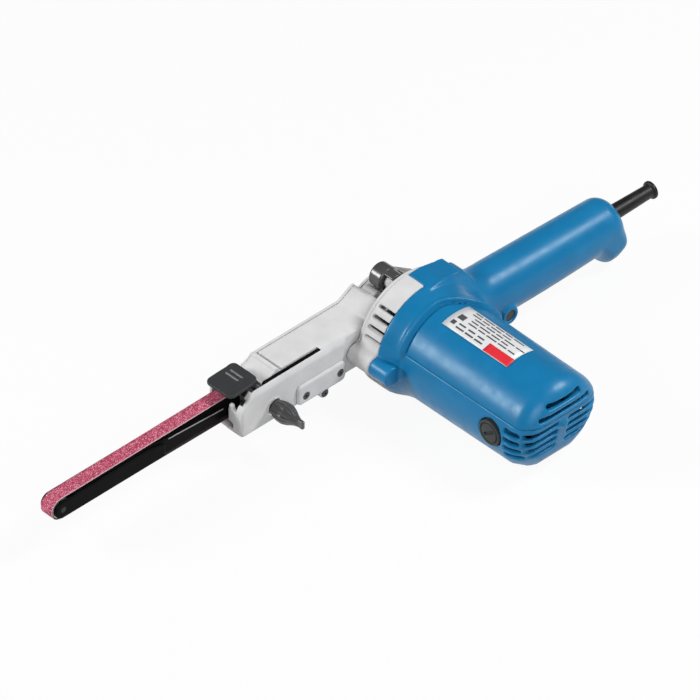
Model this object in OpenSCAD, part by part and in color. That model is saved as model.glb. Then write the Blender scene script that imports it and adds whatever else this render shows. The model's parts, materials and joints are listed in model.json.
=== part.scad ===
// Power file: a hand-held belt sander with a long swivelling arm.
// Shapes are drawn about the motor axis: X runs forward to the belt's nose, Y along the motor
// axis to the motor's end and Z up, with zero where that axis crosses the belt's middle plane.
// place() then moves the tool so that its origin lies on the flat underside of the motor housing.

/* [Belt and rollers] */
// Length of the belt loop along its middle layer
belt_length = 533; // [520:1:545]
// Width of the belt
belt_w = 9; // [7:0.5:9.5]
// Thickness of the belt
belt_t = 0.8; // [0.5:0.1:1.1]
// Radius of the drive pulley on the motor shaft
drive_r = 8.2; // [7.6:0.1:8.6]
// Radius of the roller at the nose
nose_r = 6.2; // [5.8:0.1:6.8]
// Radius of the nose roller's axle
nose_axle_r = 1.8; // [1.4:0.1:2.4]

/* [Belt arm] */
// Width of the arm's bar, inside the belt loop
arm_w = 8.2; // [7:0.1:8.4]
// Thickness of the two cheeks beside the nose roller
cheek_t = 1.5; // [1:0.1:2]
// Rear end of the arm, ahead of the motor axis
arm_rear = 62; // [59:1:66]
// Rear end of the contact shoe and of the cheeks
shoe_rear = 167; // [150:1:185]
// Thickness of the contact shoe's plate
shoe_t = 1; // [0.6:0.1:1.4]
// How far the arm draws back to slacken the belt
release_travel = 8; // [5:0.5:9]

/* [Belt head] */
// Front face of the head, ahead of the motor axis
head_front = 121; // [119:1:130]
// Distance from the belt's middle plane to the outside of the belt cover
head_far = 8; // [7.5:0.1:9]
// Distance from the belt's middle plane to the near wall's outside
head_near = 18; // [17.6:0.1:20]
// Height of the top plate above the motor axis
head_top = 14.5; // [14:0.1:17]
// Depth of the head below the motor axis
head_drop = 13; // [12.6:0.1:15]
// Wall of the head casting
head_wall = 2.5; // [2:0.1:2.8]
// Thickness of the belt cover
belt_cover_t = 1.6; // [1.2:0.1:2]
// Radius of the head's rear end, around the drive pulley
head_rear_r = 18.4; // [17.8:0.1:18.6]
// Width of the slot in the top plate
slot_w = 2.8; // [2.4:0.1:3.2]

/* [Release lever and tracking knob] */
// Length of the release lever's plate
lever_len = 21.5; // [18:0.5:24]
// Thickness of the release lever's plate
lever_t = 2; // [1.4:0.1:2.4]
// Radius of the release lever's pin
lever_pin_r = 1.3; // [1:0.1:1.5]
// Length of the tracking knob's body
knob_len = 18; // [14:0.5:24]
// Largest radius of the tracking knob
knob_r = 6; // [5.6:0.1:6.8]
// Radius of the tracking screw
tracking_screw_r = 2.5; // [2:0.1:3]

/* [Arm swivel and clamp] */
// Radius of the bracket's nose, on which the head swivels
pivot_r = 15; // [14.4:0.1:15.3]
// Swing of the head to each side
swivel_deg = 30; // [15:1:35]
// Distance of the clamp bolt from the motor axis
clamp_dist = 26.5; // [26.3:0.1:27.5]
// Angle of the clamp bolt above the forward direction
clamp_angle = 83.5; // [80:0.5:92]
// Radius of the clamp bolt
clamp_bolt_r = 3; // [2.4:0.1:3.4]
// Radius of the clamp lever's hub
clamp_hub_r = 7.2; // [6:0.1:7.4]

/* [Front bracket] */
// Radius of the bracket's drum
drum_r = 36; // [35:0.5:37]
// Front face of the drum, measured along the motor axis
drum_front = 17; // [17:0.5:19]
// Seam between the drum and the motor housing
drum_back = 34; // [33.5:0.5:38]
// Wall of the drum
drum_wall = 3; // [2.4:0.1:3.4]
// Width of a vent slot in the drum
vent_w = 3; // [2:0.1:4]
// Angle between two vent slots
vent_step = 10; // [9:0.5:11]
// Radius of the round screw bosses
boss_r = 6.1; // [5.8:0.1:6.5]
// Distance of the screws from the motor axis
boss_dist = 36.5; // [35.5:0.1:37.5]

/* [Motor housing] */
// Radius of the motor housing
motor_r = 31; // [30.6:0.1:32]
// End wall of the motor housing
motor_end = 145.7; // [143:0.1:152]
// Wall of the plastic shells
shell_t = 3; // [2.4:0.1:3.2]
// Depth of the flat underside below the motor axis
base_drop = 27.5; // [27.2:0.1:28.5]
// Height of the seam between the housing and its upper cover
seam_z = 12; // [10:0.5:13]
// Front edge of the upper cover
cover_front = 49; // [47:0.5:51]
// Lean of the end wall below the seam
end_lean = 13; // [8:1:15]
// Rounding of the motor housing's end
end_round = 11; // [7:0.5:13]
// Height of a louvre slot in the end wall
louvre_h = 2.6; // [1.6:0.1:3]

/* [Handle] */
// Distance of the handle's middle from the belt plane
handle_y = 29; // [27:0.5:30]
// Width of the handle
handle_w = 31; // [30:0.5:34]
// Height of the handle at its root
handle_h = 36; // [34:0.5:38]
// Length from the motor axis to the handle's end
handle_len = 148; // [144:1:160]
// Wall of the handle
handle_wall = 3; // [2.4:0.1:3.2]
// Bore of the cord guard
cord_bore_r = 3.6; // [2.8:0.1:3.8]
// Length of the cord guard outside the handle
guard_len = 30; // [20:1:45]
// How far the trigger is squeezed
trigger_travel = 4; // [2:0.5:4.5]
// Radius of the lock button
button_r = 3.2; // [2.6:0.1:3.6]
// How far the lock button is pushed
button_travel = 3; // [2:0.5:3]

/* [Motor] */
// Radius of the armature core
core_r = 17.5; // [16:0.1:18]
// Length of the stator stack
stator_len = 46; // [40:0.5:48]
// Front end of the stator stack
stator_front = 52; // [51:0.5:54]
// Radius of the commutator
commutator_r = 12; // [10:0.1:13]
// Radius of the motor shaft in the front bearing and the pulley
shaft_r = 4; // [3.5:0.1:4.4]
// Radius of the motor shaft in the rear bearing
rear_shaft_r = 3; // [2.5:0.1:3.5]
// Outer radius of the front bearing
front_bearing_r = 11; // [10.5:0.1:11.4]
// Outer radius of the rear bearing
rear_bearing_r = 9.5; // [9:0.1:10]
// Position of the carbon brushes along the motor axis
brush_y = 117.4; // [116.5:0.1:119]
// Radius of a brush cap
brush_cap_r = 8.1; // [7.6:0.1:8.6]

/* [Fits] */
// Clearance between pieces that move past each other or drop in
gap = 0.3; // [0.2:0.05:0.4]
// Radial clearance of a shaft that turns in its bore
run_fit = 0.05; // [0.02:0.01:0.1]

/* [Hidden] */
$fn = 64;
// Sides of the round forms inside a hull
hull_fn = 32;
// Small overlap that lets a cut pass cleanly through a face
cut = 0.1;
// Larger than any piece, for half-space cuts
far = 400;
// Clearance between faces that rest on each other
touch = 0.05;
// Radial clearance of a screw or pin in a plain hole
hole_fit = 0.1;
// Clearance of a fixed piece in its seat
seat_fit = 0.2;
// Free depth beyond the tip of a screw
end_gap = 1;

// Belt loop: the axle distance follows from the belt's length
belt_in_drive = drive_r + gap / 2;
belt_in_nose = nose_r + gap / 2;
loop_step = belt_in_drive - belt_in_nose;
loop_free = belt_length - PI * (belt_in_drive + belt_in_nose + belt_t);
nose_x = (loop_free + sqrt(pow(loop_free, 2) - 8 * pow(loop_step, 2))) / 4;
loop_angle = acos(loop_step / nose_x);
pulley_half = belt_w / 2 + 1;
// Inner half height of the belt loop at a distance ahead of the motor axis
function loop_in(x) = belt_in_drive - loop_step * x / nose_x;

// Belt head
chamber_far = head_far - belt_cover_t;
chamber_near = pulley_half + 1.1;
cavity_near = head_near - head_wall;
cavity_top = head_top - head_wall;
cavity_drop = head_drop - head_wall;
slot_far = cavity_near - slot_w;
head_back = drum_front - gap;
ramp_top_x = head_front - 31;
ramp_foot_x = head_front - 23;
ramp_foot_z = head_top - 3.5;
ramp_roof = 1.5;
ramp_curve = [[1.4, -1], [4, -2.6]];
ridge_w = 6;
ridge_h = 1;
shoulder_h = 5.5;
shoulder_x = [-5.8, -4.4, -2.4, 7.4];
front_step = [9, 6];
notch_x = 5.4;
notch_z = 5.2;
front_wall_top = 2.4;
lever_x = head_front - 16;
lever_z = head_top - 3;
lever_barrel_r = lever_pin_r + 1.1;
lever_top = head_top + 1.5;
lever_back = 1;
lever_over = 0.8;
lever_ribs = [7.4, 10.9];
lever_rib_w = 1.2;
lever_rib_h = 0.5;
lever_rib_y = [-3, slot_far - 5];
cavity_rear = 46;
front_roof = ramp_foot_z - ramp_roof;
// Room swept by the bracket's front boss as the head swivels
boss_sweep = boss_dist + boss_r + 2.4;
post_r = 3.4;
post_x = [25, 43];
chamber_r = drive_r + belt_t + 2;
cover_screw_r = 1.5;
cover_head_r = cover_screw_r + 1.4;
cover_head_t = 0.8;
cover_screw_tip = 3;
clamp_lug_r = 4.4;
clamp_lug_y = -2;
clamp_lug_z = head_rear_r - 2;
lever_lug_r = lever_barrel_r - 0.2;
lever_lug_t = 1.6;
lever_far = lever_lug_t + gap - chamber_far;

// Arm
bar_half = arm_w / 2;
cheek_in = belt_w / 2 + gap;
cheek_out = cheek_in + cheek_t;
nose_cheek_r = nose_r - 0.6;
carriage_front = head_front - 9;
carriage_far = bar_half + 2;
carriage_top = 6;
carriage_rear = arm_rear - 3;
spring_r = 3.6;
spring_wire = 0.9;
spring_y = (carriage_far + cavity_near) / 2;
spring_z = -2;
spring_seat = carriage_rear - release_travel - 9;
link_t = slot_w - 2 * gap;
link_high = 1.2;
arm_low = -5.6;
shoe_low = -5.2 - gap;
arm_high = 5.4;
arm_mid_z = [0.5, 2.7];
arm_rear_z = 4.6;
shoe_slope = 12;
shoe_step = 2;
nose_room = nose_r + 2;
web_z = [-4.5, 2.8];
pad_half = 4;
arm_screw_r = 1.5;
arm_head_r = 2.7;
arm_head_t = 1.5;
spring_turns = 6;
arm_screw_x = [arm_rear + 6, arm_rear + 18];

// Side plate and tracking knob
side_plate_t = 2;
side_plate_x = [boss_sweep + 0.5, boss_sweep + 36];
side_plate_z = [-head_drop, 0.5];
side_screws = [
    [side_plate_x[1] - 6, -8],
    [side_plate_x[1] - 20, -head_drop - 1.4],
    [side_plate_x[0] + 4, -6.5]
];
side_screw_r = 1.4;
side_head_r = side_screw_r + 0.8;
side_head_t = 1;
side_corner = 5;
side_tab_r = 3.2;
tracking_x = head_front - 23.5;
tracking_z = -3.1;
washer_t = 1.2;
knob_base = head_near + washer_t + gap;
knob_tab = 4.5;
knob_tab_half = [1.1, 2.6];
knob_flutes = 10;
knob_flute_r = 1;
// Radius taken off the knob, and the share of its length where that is
knob_steps = [[1.3, 0], [0.4, 0.25], [0, 0.5], [1.2, 0.75], [3.6, 1]];
knob_roof = 4;

// Clamp
clamp_x = clamp_dist * cos(clamp_angle);
clamp_z = clamp_dist * sin(clamp_angle);
clamp_ear_y = 9;
clamp_hub_y = 0;
clamp_slot_r = clamp_bolt_r + 0.4;
// Half width, depth below and height above the bolt of its T head
nut_half = 4.5;
nut_low = 5;
nut_high = 3.7;
nut_t = 3;
clamp_ear_wall = 3.5;
clamp_lug_x = clamp_x + 7.6;
clamp_cap = 1.5;
clamp_tail = [-22, 1.1];
clamp_tail_r = 2.5;
clamp_tip = 1.8;
clamp_tail_y = 3;
clamp_rest = 28;

// Bracket and housing
drum_floor = base_drop - drum_wall;
nose_front = 7;
bearing_front = 8.5;
bearing_len = 7;
bearing_shoulder = 1.5;
drum_plate = 3;
boss_angles = [0, 140, 213];
lug_r = boss_r - 1.5;
lug_front = 25.5;
saddle_t = 2.6;
saddle_front = 20.8;
rim_r = drum_r - 1.5;
rear_drum_r = drum_r - saddle_t - gap;
rear_drum_wall = 1.6;
rear_seat = saddle_front + 2.4;
rear_boss_end = drum_back + 8;
// Raised ear beside the handle's root: its outline in X and Z
ear_outline = [[-25, 12], [-25, 33], [-9.5, 35.3], [-3, 35.3], [-3, 12]];
ear_back = drum_back + 2.4;
vent_angles = [20, -20];
vent_counts = [4, 3];
vent_front = drum_front + 5;
vent_in = drum_r - 6;
collar_flat = 4;
screw_shank_r = 2;
screw_head_r = 3.9;
screw_head_t = 2.6;
cross_half = [2.8, 0.5];
cross_floor = 1.4;
screw_bite = 10;
front_seat = drum_front + 3;
boss_end = drum_back + 14;
inner_r = motor_r - shell_t;
inner_floor = base_drop - shell_t;
inner_end = motor_end - shell_t;
seam_step = 2;
bearing_wall = 3.5;
bearing_lip = 0.4;
tunnel_wall = 2.4;
tunnel_in = 20;
blend_x = -36;
blend_y = 28;
blend_r = 37;
rest_y = 80;
louvre_rows = [7, 1.5, -4, -9.5];
louvre_end_x = [3.5, 24];
louvre_side_x = inner_r - 6;
louvre_side_y = [brush_y + 12, motor_end - 9.5];
louvre_depth = 8;
louvre_post = 1.6;
cover_louvres = [[22, 12.5], [16, 18.5]];
post_screw_x = 19;
post_screw_y = motor_end - 17;
post_screw_r = 1.6;
post_screw_floor = -14;
post_wall = 2;
post_head_r = post_screw_r + 1.5;
post_head_t = 2;
post_depth = 8;

// Handle
handle_half = handle_w / 2;
grip_root_x = -40;
grip_end_x = -handle_len;
// Handle sections: place along X, width, height above and depth below the handle's axis
grip_top = handle_h / 2 - 1.3;
grip_low = handle_h / 2 - 1.1;
grip_root = [-22, handle_w + 9, grip_top + 11, grip_low + 7];
grip_neck = [grip_root_x - 8, handle_w, grip_top, grip_low];
grip_mid = [-95, handle_w, grip_top - 1.3, grip_low + 0.9];
grip_tail = [grip_end_x, handle_w - 2.5, grip_top - 3.4, grip_low - 1];
stop_start = [grip_end_x + 21, handle_w - 2.5, grip_top - 3.1, grip_low - 0.4];
stop_low = [grip_end_x + 10, handle_w - 2.5, grip_top - 3.3, grip_low + 9.4];
stop_end = [grip_end_x, handle_w - 3.5, grip_top - 3.6, grip_low + 6.4];
hollow_r = 8;
hollow_w = handle_w - 2 * handle_wall - 1;
hollow_top = 10.4;
hollow_floor = -12.6;
lid_z = hollow_floor + 0.6;
lid_x = [grip_end_x + 24, -59];
lid_half = hollow_w / 2 - 1;
lid_screws = [lid_x[0] + 5, lid_x[1] - 4.5];
lid_post_r = screw_shank_r + 1.5;
lid_seat = hollow_floor - 2.4;
lid_head_t = 1.6;
lid_hole = hollow_floor + 12;
trigger_x = [-101, -70];
trigger_half = 5;
trigger_low = -21.5;
trigger_lip = 1.2;
trigger_lip_out = 2;
trigger_spring_r = 2.6;
thin_wire = 0.6;
trigger_spring_in = 6;
spring_play = 0.2;
small_turns = 4;
switch_half = 7;
switch_floor = lid_z + gap + trigger_lip + trigger_travel + 1.4;
switch_top = hollow_top - 1.1;
switch_ends = [4, 2];
terminal_y = 4;
terminal_half = 1.5;
terminal_h = 5;
button_x = -54;
button_z = -9.6;
button_out = handle_y + handle_half + 1.6;
button_in = handle_y + hollow_w / 2 - 4.5;
button_lip_r = button_r + 0.9;
button_lip = 1.2;
button_sunk = 0.8;
button_spring_r = 2.2;
button_wire = 0.5;
button_wall = 1.2;
button_boss_r = button_r + 2.6;
button_seat = button_in - button_travel - 3.4;
guard_r = cord_bore_r + 1.1;
guard_flange_r = guard_r + 1.8;
guard_lock_r = guard_r + 2.6;
guard_tip = grip_end_x - guard_len;
guard_taper = 0.35;
guard_flange_t = 2.4;
guard_lock_t = 3;
clamp_bar_x = [grip_end_x + 7.4, grip_end_x + 13.4];
clamp_bar_half = 6.5;
clamp_bar_floor = 5;
clamp_foot_r = 2.2;
clamp_foot_y = 4;
clamp_foot_floor = 3.4;

// Motor
stator_back = stator_front + stator_len;
stator_r = inner_r - gap;
stator_flat = inner_floor - gap;
pole_r = core_r + 0.6;
window_r = 23;
window_half = 34;
coil_out = window_r - 0.4;
coil_in = pole_r + 0.8;
coil_end = 6;
coil_sweep = 66;
coil_side = 6;
coil_inset = [0.3, 0.2];
coil_lap = 3;
core_front = stator_front + 2;
core_back = stator_back - 2;
core_slots = 12;
core_slot_w = 3;
core_slot_d = 6.5;
winding_w = 2.4;
winding_d = 6;
winding_end = 6.5;
riser_y = brush_y - 12.4;
bars_y = [brush_y - 8.4, brush_y + 8.4];
commutator_bars = 24;
riser_h = 1.2;
bar_gap = 0.6;
bar_gap_d = 1;
main_shaft_r = shaft_r + 1;
fan_r = drum_floor - 1;
fan_front = drum_back - 9;
fan_blades = 12;
fan_back = drum_back - 1;
fan_disc_t = 2;
fan_hub = 3;
blade_half = 0.7;
shield_in = 1.8;
shield_d = 0.5;
shaft_tip = -2.9;
shaft_hole_r = 2.2;
shaft_hole_end = 8;
pulley_hub = 1.5;
pulley_seat_y = -3;
pulley_seat_r = shaft_r + 1.2;
pulley_screw_head = [-5.2, -3.1];
pulley_screw_tip = 6;
socket_r = 1.5;
socket_floor = -4;
rear_bearing_y = [brush_y + 12, brush_y + 18];
brush_in = commutator_r + gap;
holder_back = 26;
brush_back = 21;
brush_half = [3.2, 4.7];
holder_half = [4.5, 6];
holder_rim = 1.5;
brush_spring_r = 2.4;
brush_turns = 3;
cap_edge = 0.8;
cap_step = motor_r - 0.6;
cap_slot = [5.6, 0.8, 1.2];
cap_out = motor_r + 0.8;
cap_in = holder_back + gap;

// General shapes
module block(lo, hi) translate(lo) cube(hi - lo);

module xcyl(r, x0, x1, y = 0, z = 0) translate([x0, y, z]) rotate([0, 90, 0]) cylinder(r = r, h = x1 - x0);

module ycyl(r, y0, y1, x = 0, z = 0) translate([x, y0, z]) rotate([-90, 0, 0]) cylinder(r = r, h = y1 - y0);

module zcyl(r, z0, z1, x = 0, y = 0) translate([x, y, z0]) cylinder(r = r, h = z1 - z0);

// A flat outline in X and Z, given thickness along Y
module xz(y0, y1) translate([0, y1, 0]) rotate([90, 0, 0]) linear_extrude(y1 - y0) children();

// A profile of radius and Y, turned about the motor axis
module spin() rotate([-90, 0, 0]) rotate_extrude() children();

// A ring about the motor axis between two angles, counted from forward to up
module ring_sector(r0, r1, y0, y1, a0, a1)
    rotate([-90, 0, 0]) rotate([0, 0, -a1]) rotate_extrude(angle = a1 - a0)
        translate([r0, y0]) square([r1 - r0, y1 - y0]);

// Turns a shape about the motor axis, from forward to up
module about_motor(a) rotate([0, -a, 0]) children();

module place() translate([0, -rest_y, base_drop]) children();

// One coil spring along Z: a round wire swept along a helix
module coil_spring(r, wire, len, turns) {
    sides = 6;
    steps = turns * 12;
    pts = [for (i = [0 : steps]) for (k = [0 : sides - 1])
        let (a = 360 * turns * i / steps, b = 360 * k / sides, d = r + wire / 2 * cos(b))
        [d * cos(a), d * sin(a), wire / 2 + (len - wire) * i / steps + wire / 2 * sin(b)]];
    skin = [for (i = [0 : steps - 1]) for (k = [0 : sides - 1])
        let (n = (k + 1) % sides) [(i + 1) * sides + k, (i + 1) * sides + n, i * sides + n, i * sides + k]];
    ends = [[for (k = [0 : sides - 1]) k], [for (k = [0 : sides - 1]) (steps + 1) * sides - 1 - k]];
    polyhedron(pts, concat(skin, ends));
}

// The belt's two round ends and its two straight runs, which meet face to face
module belt_loop() {
    run = sqrt(pow(nose_x, 2) - pow(loop_step, 2));
    half = belt_w / 2;
    ring_sector(belt_in_drive, belt_in_drive + belt_t, -half, half, loop_angle, 360 - loop_angle);
    translate([nose_x, 0, 0])
        ring_sector(belt_in_nose, belt_in_nose + belt_t, -half, half, -loop_angle, loop_angle);
    for (side = [0, 1]) mirror([0, 0, side])
        translate([belt_in_drive * cos(loop_angle), 0, belt_in_drive * sin(loop_angle)])
            about_motor(loop_angle - 90) block([0, -half, 0], [run, half, belt_t]);
}

// Motor housing
// Revolved form of the motor body with a rounded end
module motor_round(r, end, edge) spin() {
    translate([0, drum_back]) square([r, end - edge - drum_back]);
    translate([0, drum_back]) square([r - edge, end - drum_back]);
    translate([r - edge, end - edge]) circle(edge);
}

// Motor body with its leaning end wall and flat underside
module motor_form(r, end, edge, floor) difference() {
    motor_round(r, end, edge);
    translate([-far / 2, end, seam_z]) rotate([-end_lean, 0, 0]) translate([0, 0, -far]) cube(far);
    block([-far, -far, -far], [far, far, -floor]);
}

module motor_outer() motor_form(motor_r, motor_end, end_round, base_drop);

module motor_inner() motor_form(inner_r, inner_end, max(end_round - shell_t, 1), inner_floor);

// Wider collar that meets the front bracket
module collar() difference() {
    spin() polygon([
        [0, drum_back], [drum_r, drum_back], [drum_r, drum_back + collar_flat],
        [motor_r, cover_front], [0, cover_front]
    ]);
    block([-far, -far, -far], [far, far, -base_drop]);
}

// Rear half ring that hugs the drum and carries the handle
module saddle() difference() {
    ycyl(drum_r, saddle_front, drum_back + cut);
    block([0, -far, -far], [far, far, far]);
    block([-far, -far, -far], [far, far, -base_drop]);
}

// Space that belongs to the upper cover, shrunk all round by a clearance
module cover_space(shrink) difference() {
    block([-far, cover_front + shrink, seam_z + shrink], [far, far, far]);
    zcyl(blend_r + shrink, -far, far, blend_x, blend_y);
}

// Raised ear between the drum and the handle's root
module ear() xz(saddle_front, ear_back) polygon(ear_outline);

// A cross section of the handle: two half rounds and the flat between them
module grip_section(s) translate([s[0], handle_y, 0]) rotate([90, 0, 90]) linear_extrude(cut) {
    r = s[1] / 2;
    translate([0, s[2] - r]) circle(r, $fn = hull_fn);
    translate([0, r - s[3]]) circle(r, $fn = hull_fn);
}

module grip_outer() {
    hull() {
        grip_section(grip_root);
        grip_section(grip_neck);
    }
    hull() {
        grip_section(grip_neck);
        grip_section(grip_mid);
        grip_section(grip_tail);
    }
    hull() {
        grip_section(stop_start);
        grip_section(stop_low);
        grip_section(stop_end);
    }
}

module grip_hollow() translate([grip_end_x + handle_wall, handle_y, 0]) rotate([90, 0, 90])
    linear_extrude(handle_len - handle_wall - drum_r - shell_t) {
        lift = (hollow_top + hollow_floor) / 2;
        high = hollow_top - hollow_floor;
        translate([0, lift]) square([hollow_w, high - 2 * hollow_r], center = true);
        translate([0, lift]) square([hollow_w - 2 * hollow_r, high], center = true);
        for (sy = [-1, 1], sz = [-1, 1])
            translate([sy * (hollow_w / 2 - hollow_r), lift + sz * (high / 2 - hollow_r)]) circle(hollow_r);
    }

// Space of the lid under the handle
module lid_space(grow) block(
    [lid_x[0] - grow, handle_y - lid_half - grow, -far],
    [lid_x[1] + grow, handle_y + lid_half + grow, lid_z + grow]);

module boss_place(a) translate([boss_dist * cos(a), 0, boss_dist * sin(a)]) children();

module housing_bosses() for (a = boss_angles) boss_place(a)
    ycyl(boss_r, a == 0 ? drum_back : saddle_front, a == 0 ? boss_end : rear_boss_end);

// The screws go in from the belt's side; the rear bosses are hollow for the bracket's lugs
module housing_boss_holes() for (a = boss_angles) boss_place(a)
    if (a == 0) {
        ycyl(screw_shank_r, drum_front, drum_back + screw_bite);
    } else {
        ycyl(screw_shank_r + gap, drum_front, drum_back);
        ycyl(screw_head_r + gap, drum_front, rear_seat);
        ycyl(lug_r + gap, lug_front - gap, drum_back);
    }

module brush_tunnels(r, x0, x1) for (s = [0, 1]) mirror([s, 0, 0]) xcyl(r, x0, x1, brush_y);

module end_louvres() for (z = louvre_rows, s = [0, 1]) mirror([s, 0, 0]) {
    low = z - louvre_h / 2;
    high = z + louvre_h / 2;
    block([louvre_end_x[0], louvre_side_y[1] + louvre_post, low], [louvre_end_x[1], far, high]);
    block([louvre_side_x, louvre_side_y[0], low], [far, louvre_side_y[1], high]);
}

module cover_posts(r, z0, z1) for (s = [-1, 1]) zcyl(r, z0, z1, s * post_screw_x, post_screw_y);

module main_housing() color("#1f6fb2") place() difference() {
    union() {
        difference() {
            union() {
                motor_outer();
                collar();
                saddle();
                ear();
                housing_bosses();
                grip_outer();
            }
            difference() {
                motor_inner();
                ycyl(far, -far, drum_back + seam_step);
            }
            ycyl(drum_r + gap, -far, saddle_front);
            ycyl(drum_r - saddle_t, -far, drum_back);
            difference() {
                ycyl(drum_r - drum_wall, drum_back - cut, drum_back + seam_step + cut);
                block([-far, -far, -far], [far, far, -drum_floor]);
            }
            grip_hollow();
        }
        ycyl(button_boss_r, button_seat - button_wall, button_out, button_x, button_z);
        for (x = lid_screws) zcyl(lid_post_r, lid_z + gap, hollow_top + end_gap, x, handle_y);
        intersection() {
            motor_outer();
            union() {
                ycyl(rear_bearing_r + bearing_wall, rear_bearing_y[0] - bearing_lip, motor_end);
                brush_tunnels(brush_cap_r + tunnel_wall, tunnel_in, motor_r);
                cover_posts(post_screw_r + post_wall, -far, seam_z);
            }
        }
    }
    cover_space(0);
    lid_space(gap);
    housing_boss_holes();
    ycyl(rear_bearing_r, rear_bearing_y[0] - end_gap, rear_bearing_y[1] + seat_fit);
    ycyl(rear_shaft_r + end_gap, rear_bearing_y[0], rear_bearing_y[1] + 3 * end_gap);
    brush_tunnels(brush_cap_r + seat_fit, tunnel_in - end_gap, far);
    end_louvres();
    cover_posts(post_screw_r + gap, -far, far);
    cover_posts(post_head_r + gap, -far, post_screw_floor);
    xcyl(guard_r + seat_fit, grip_end_x - end_gap, grip_end_x + handle_wall + end_gap, handle_y);
    ycyl(button_r + gap, button_seat, button_out + cut, button_x, button_z);
    ycyl(button_lip_r + gap, button_seat, button_in + button_lip + gap, button_x, button_z);
    for (x = lid_screws) zcyl(screw_shank_r, lid_z, lid_hole, x, handle_y);
    block([-far, -far, -far], [far, far, -base_drop]);
}

module motor_cover() color("#2478bc") place() difference() {
    union() {
        difference() {
            intersection() {
                motor_outer();
                cover_space(gap / 2);
            }
            motor_inner();
        }
        intersection() {
            motor_outer();
            cover_posts(post_screw_r + post_wall, seam_z + gap / 2, far);
        }
    }
    cover_posts(post_screw_r, -far, seam_z + post_depth);
    for (l = cover_louvres)
        block([-l[1], inner_end - louvre_depth, l[0] - louvre_h / 2], [l[1], far, l[0] + louvre_h / 2]);
}

module handle_cover() color("#1b66a5") place() difference() {
    intersection() {
        grip_outer();
        lid_space(0);
    }
    grip_hollow();
    block([trigger_x[0] - gap, handle_y - trigger_half - gap, -far],
        [trigger_x[1] + gap, handle_y + trigger_half + gap, far]);
    for (x = lid_screws) {
        zcyl(screw_shank_r + seat_fit, -far, far, x, handle_y);
        zcyl(screw_head_r, -far, lid_seat, x, handle_y);
    }
}

// Front half of a ring about the motor axis, clear of the saddle
module front_half() difference() {
    children();
    block([-far, -far, -far], [gap, far, far]);
}

module drum_room() difference() {
    union() {
        ycyl(rear_drum_r - rear_drum_wall, drum_front + drum_plate, drum_back + cut);
        front_half() ycyl(drum_r - drum_wall, drum_front + drum_plate, drum_back + cut);
    }
    block([-far, -far, -far], [far, far, -drum_floor]);
    for (a = boss_angles) boss_place(a) ycyl(lug_r, drum_front, drum_back);
    ycyl(pivot_r, 0, drum_front + drum_plate + end_gap);
}

module clamp_slot() {
    ring_sector(clamp_dist - clamp_slot_r, clamp_dist + clamp_slot_r,
        drum_front - cut, drum_front + drum_plate + cut, clamp_angle - swivel_deg, clamp_angle + swivel_deg);
    for (a = [-swivel_deg, swivel_deg]) about_motor(clamp_angle + a)
        ycyl(clamp_slot_r + gap / 2, drum_front - 2 * cut, drum_front + drum_plate + 2 * cut, clamp_dist);
}

module drum_vents() for (k = [0, 1], i = [0 : vent_counts[k] - 1])
    about_motor(vent_angles[k] + sign(vent_angles[k]) * i * vent_step)
        block([vent_in, vent_front, -vent_w / 2], [far, drum_back + cut, vent_w / 2]);

module front_bracket() color("#d9dadb") place() difference() {
    union() {
        ycyl(rim_r, drum_front, saddle_front - gap);
        ycyl(rear_drum_r, drum_front, drum_back);
        front_half() ycyl(drum_r, saddle_front - gap - cut, drum_back);
        ycyl(pivot_r, nose_front, drum_front + end_gap);
        boss_place(boss_angles[0]) ycyl(boss_r, drum_front, drum_back);
        for (a = boss_angles) if (a != 0) boss_place(a) ycyl(lug_r, lug_front, drum_back);
    }
    drum_room();
    ycyl(front_bearing_r + run_fit, bearing_front, far);
    ycyl(front_bearing_r - bearing_shoulder, 0, drum_back);
    clamp_slot();
    drum_vents();
    for (a = boss_angles) boss_place(a) {
        ycyl(screw_shank_r + (a == 0 ? gap : 0), 0, drum_back + cut);
        ycyl(screw_head_r + gap, 0, a == 0 ? front_seat : lug_front - gap);
    }
    block([-far, -far, -far], [far, far, -base_drop]);
}

// A screw with a cross in its head, drawn along Y with its seat at zero and its tip at -Y
module cross_screw(tip) difference() {
    union() {
        ycyl(screw_shank_r - touch, tip, screw_head_t / 2);
        ycyl(screw_head_r, touch, screw_head_t);
    }
    for (a = [0, 90]) rotate([0, a, 0])
        block([-cross_half[0], cross_floor, -cross_half[1]], [cross_half[0], far, cross_half[1]]);
}

module bracket_screws() color("#3a3d42") place() for (a = boss_angles) boss_place(a) {
    seat = a == 0 ? front_seat : rear_seat;
    tip = a == 0 ? drum_back + screw_bite : drum_back;
    translate([0, seat, 0]) rotate([0, 0, 180]) cross_screw(seat - tip + end_gap);
}

module cover_screws() color("#3a3d42") place() {
    cover_posts(post_screw_r - touch, post_screw_floor - post_head_t / 2, seam_z + post_depth - end_gap);
    cover_posts(post_head_r, post_screw_floor - post_head_t, post_screw_floor - touch);
}

module handle_screws() color("#3a3d42") place() for (x = lid_screws) {
    zcyl(screw_shank_r - touch, lid_seat, lid_hole - end_gap, x, handle_y);
    zcyl(screw_head_r - seat_fit, lid_seat - lid_head_t, lid_seat, x, handle_y);
}

// Motor
module pole_window() {
    circle(pole_r);
    intersection() {
        circle(window_r);
        union() for (s = [-1, 1]) polygon([
            [0, 0], [s * far * cos(window_half), far * sin(window_half)],
            [s * far * cos(window_half), -far * sin(window_half)]
        ]);
    }
}

module stator_core() color("#8d9196") place() xz(stator_front, stator_back) difference() {
    intersection() {
        circle(stator_r);
        square([far, 2 * stator_flat], center = true);
    }
    pole_window();
}

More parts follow.
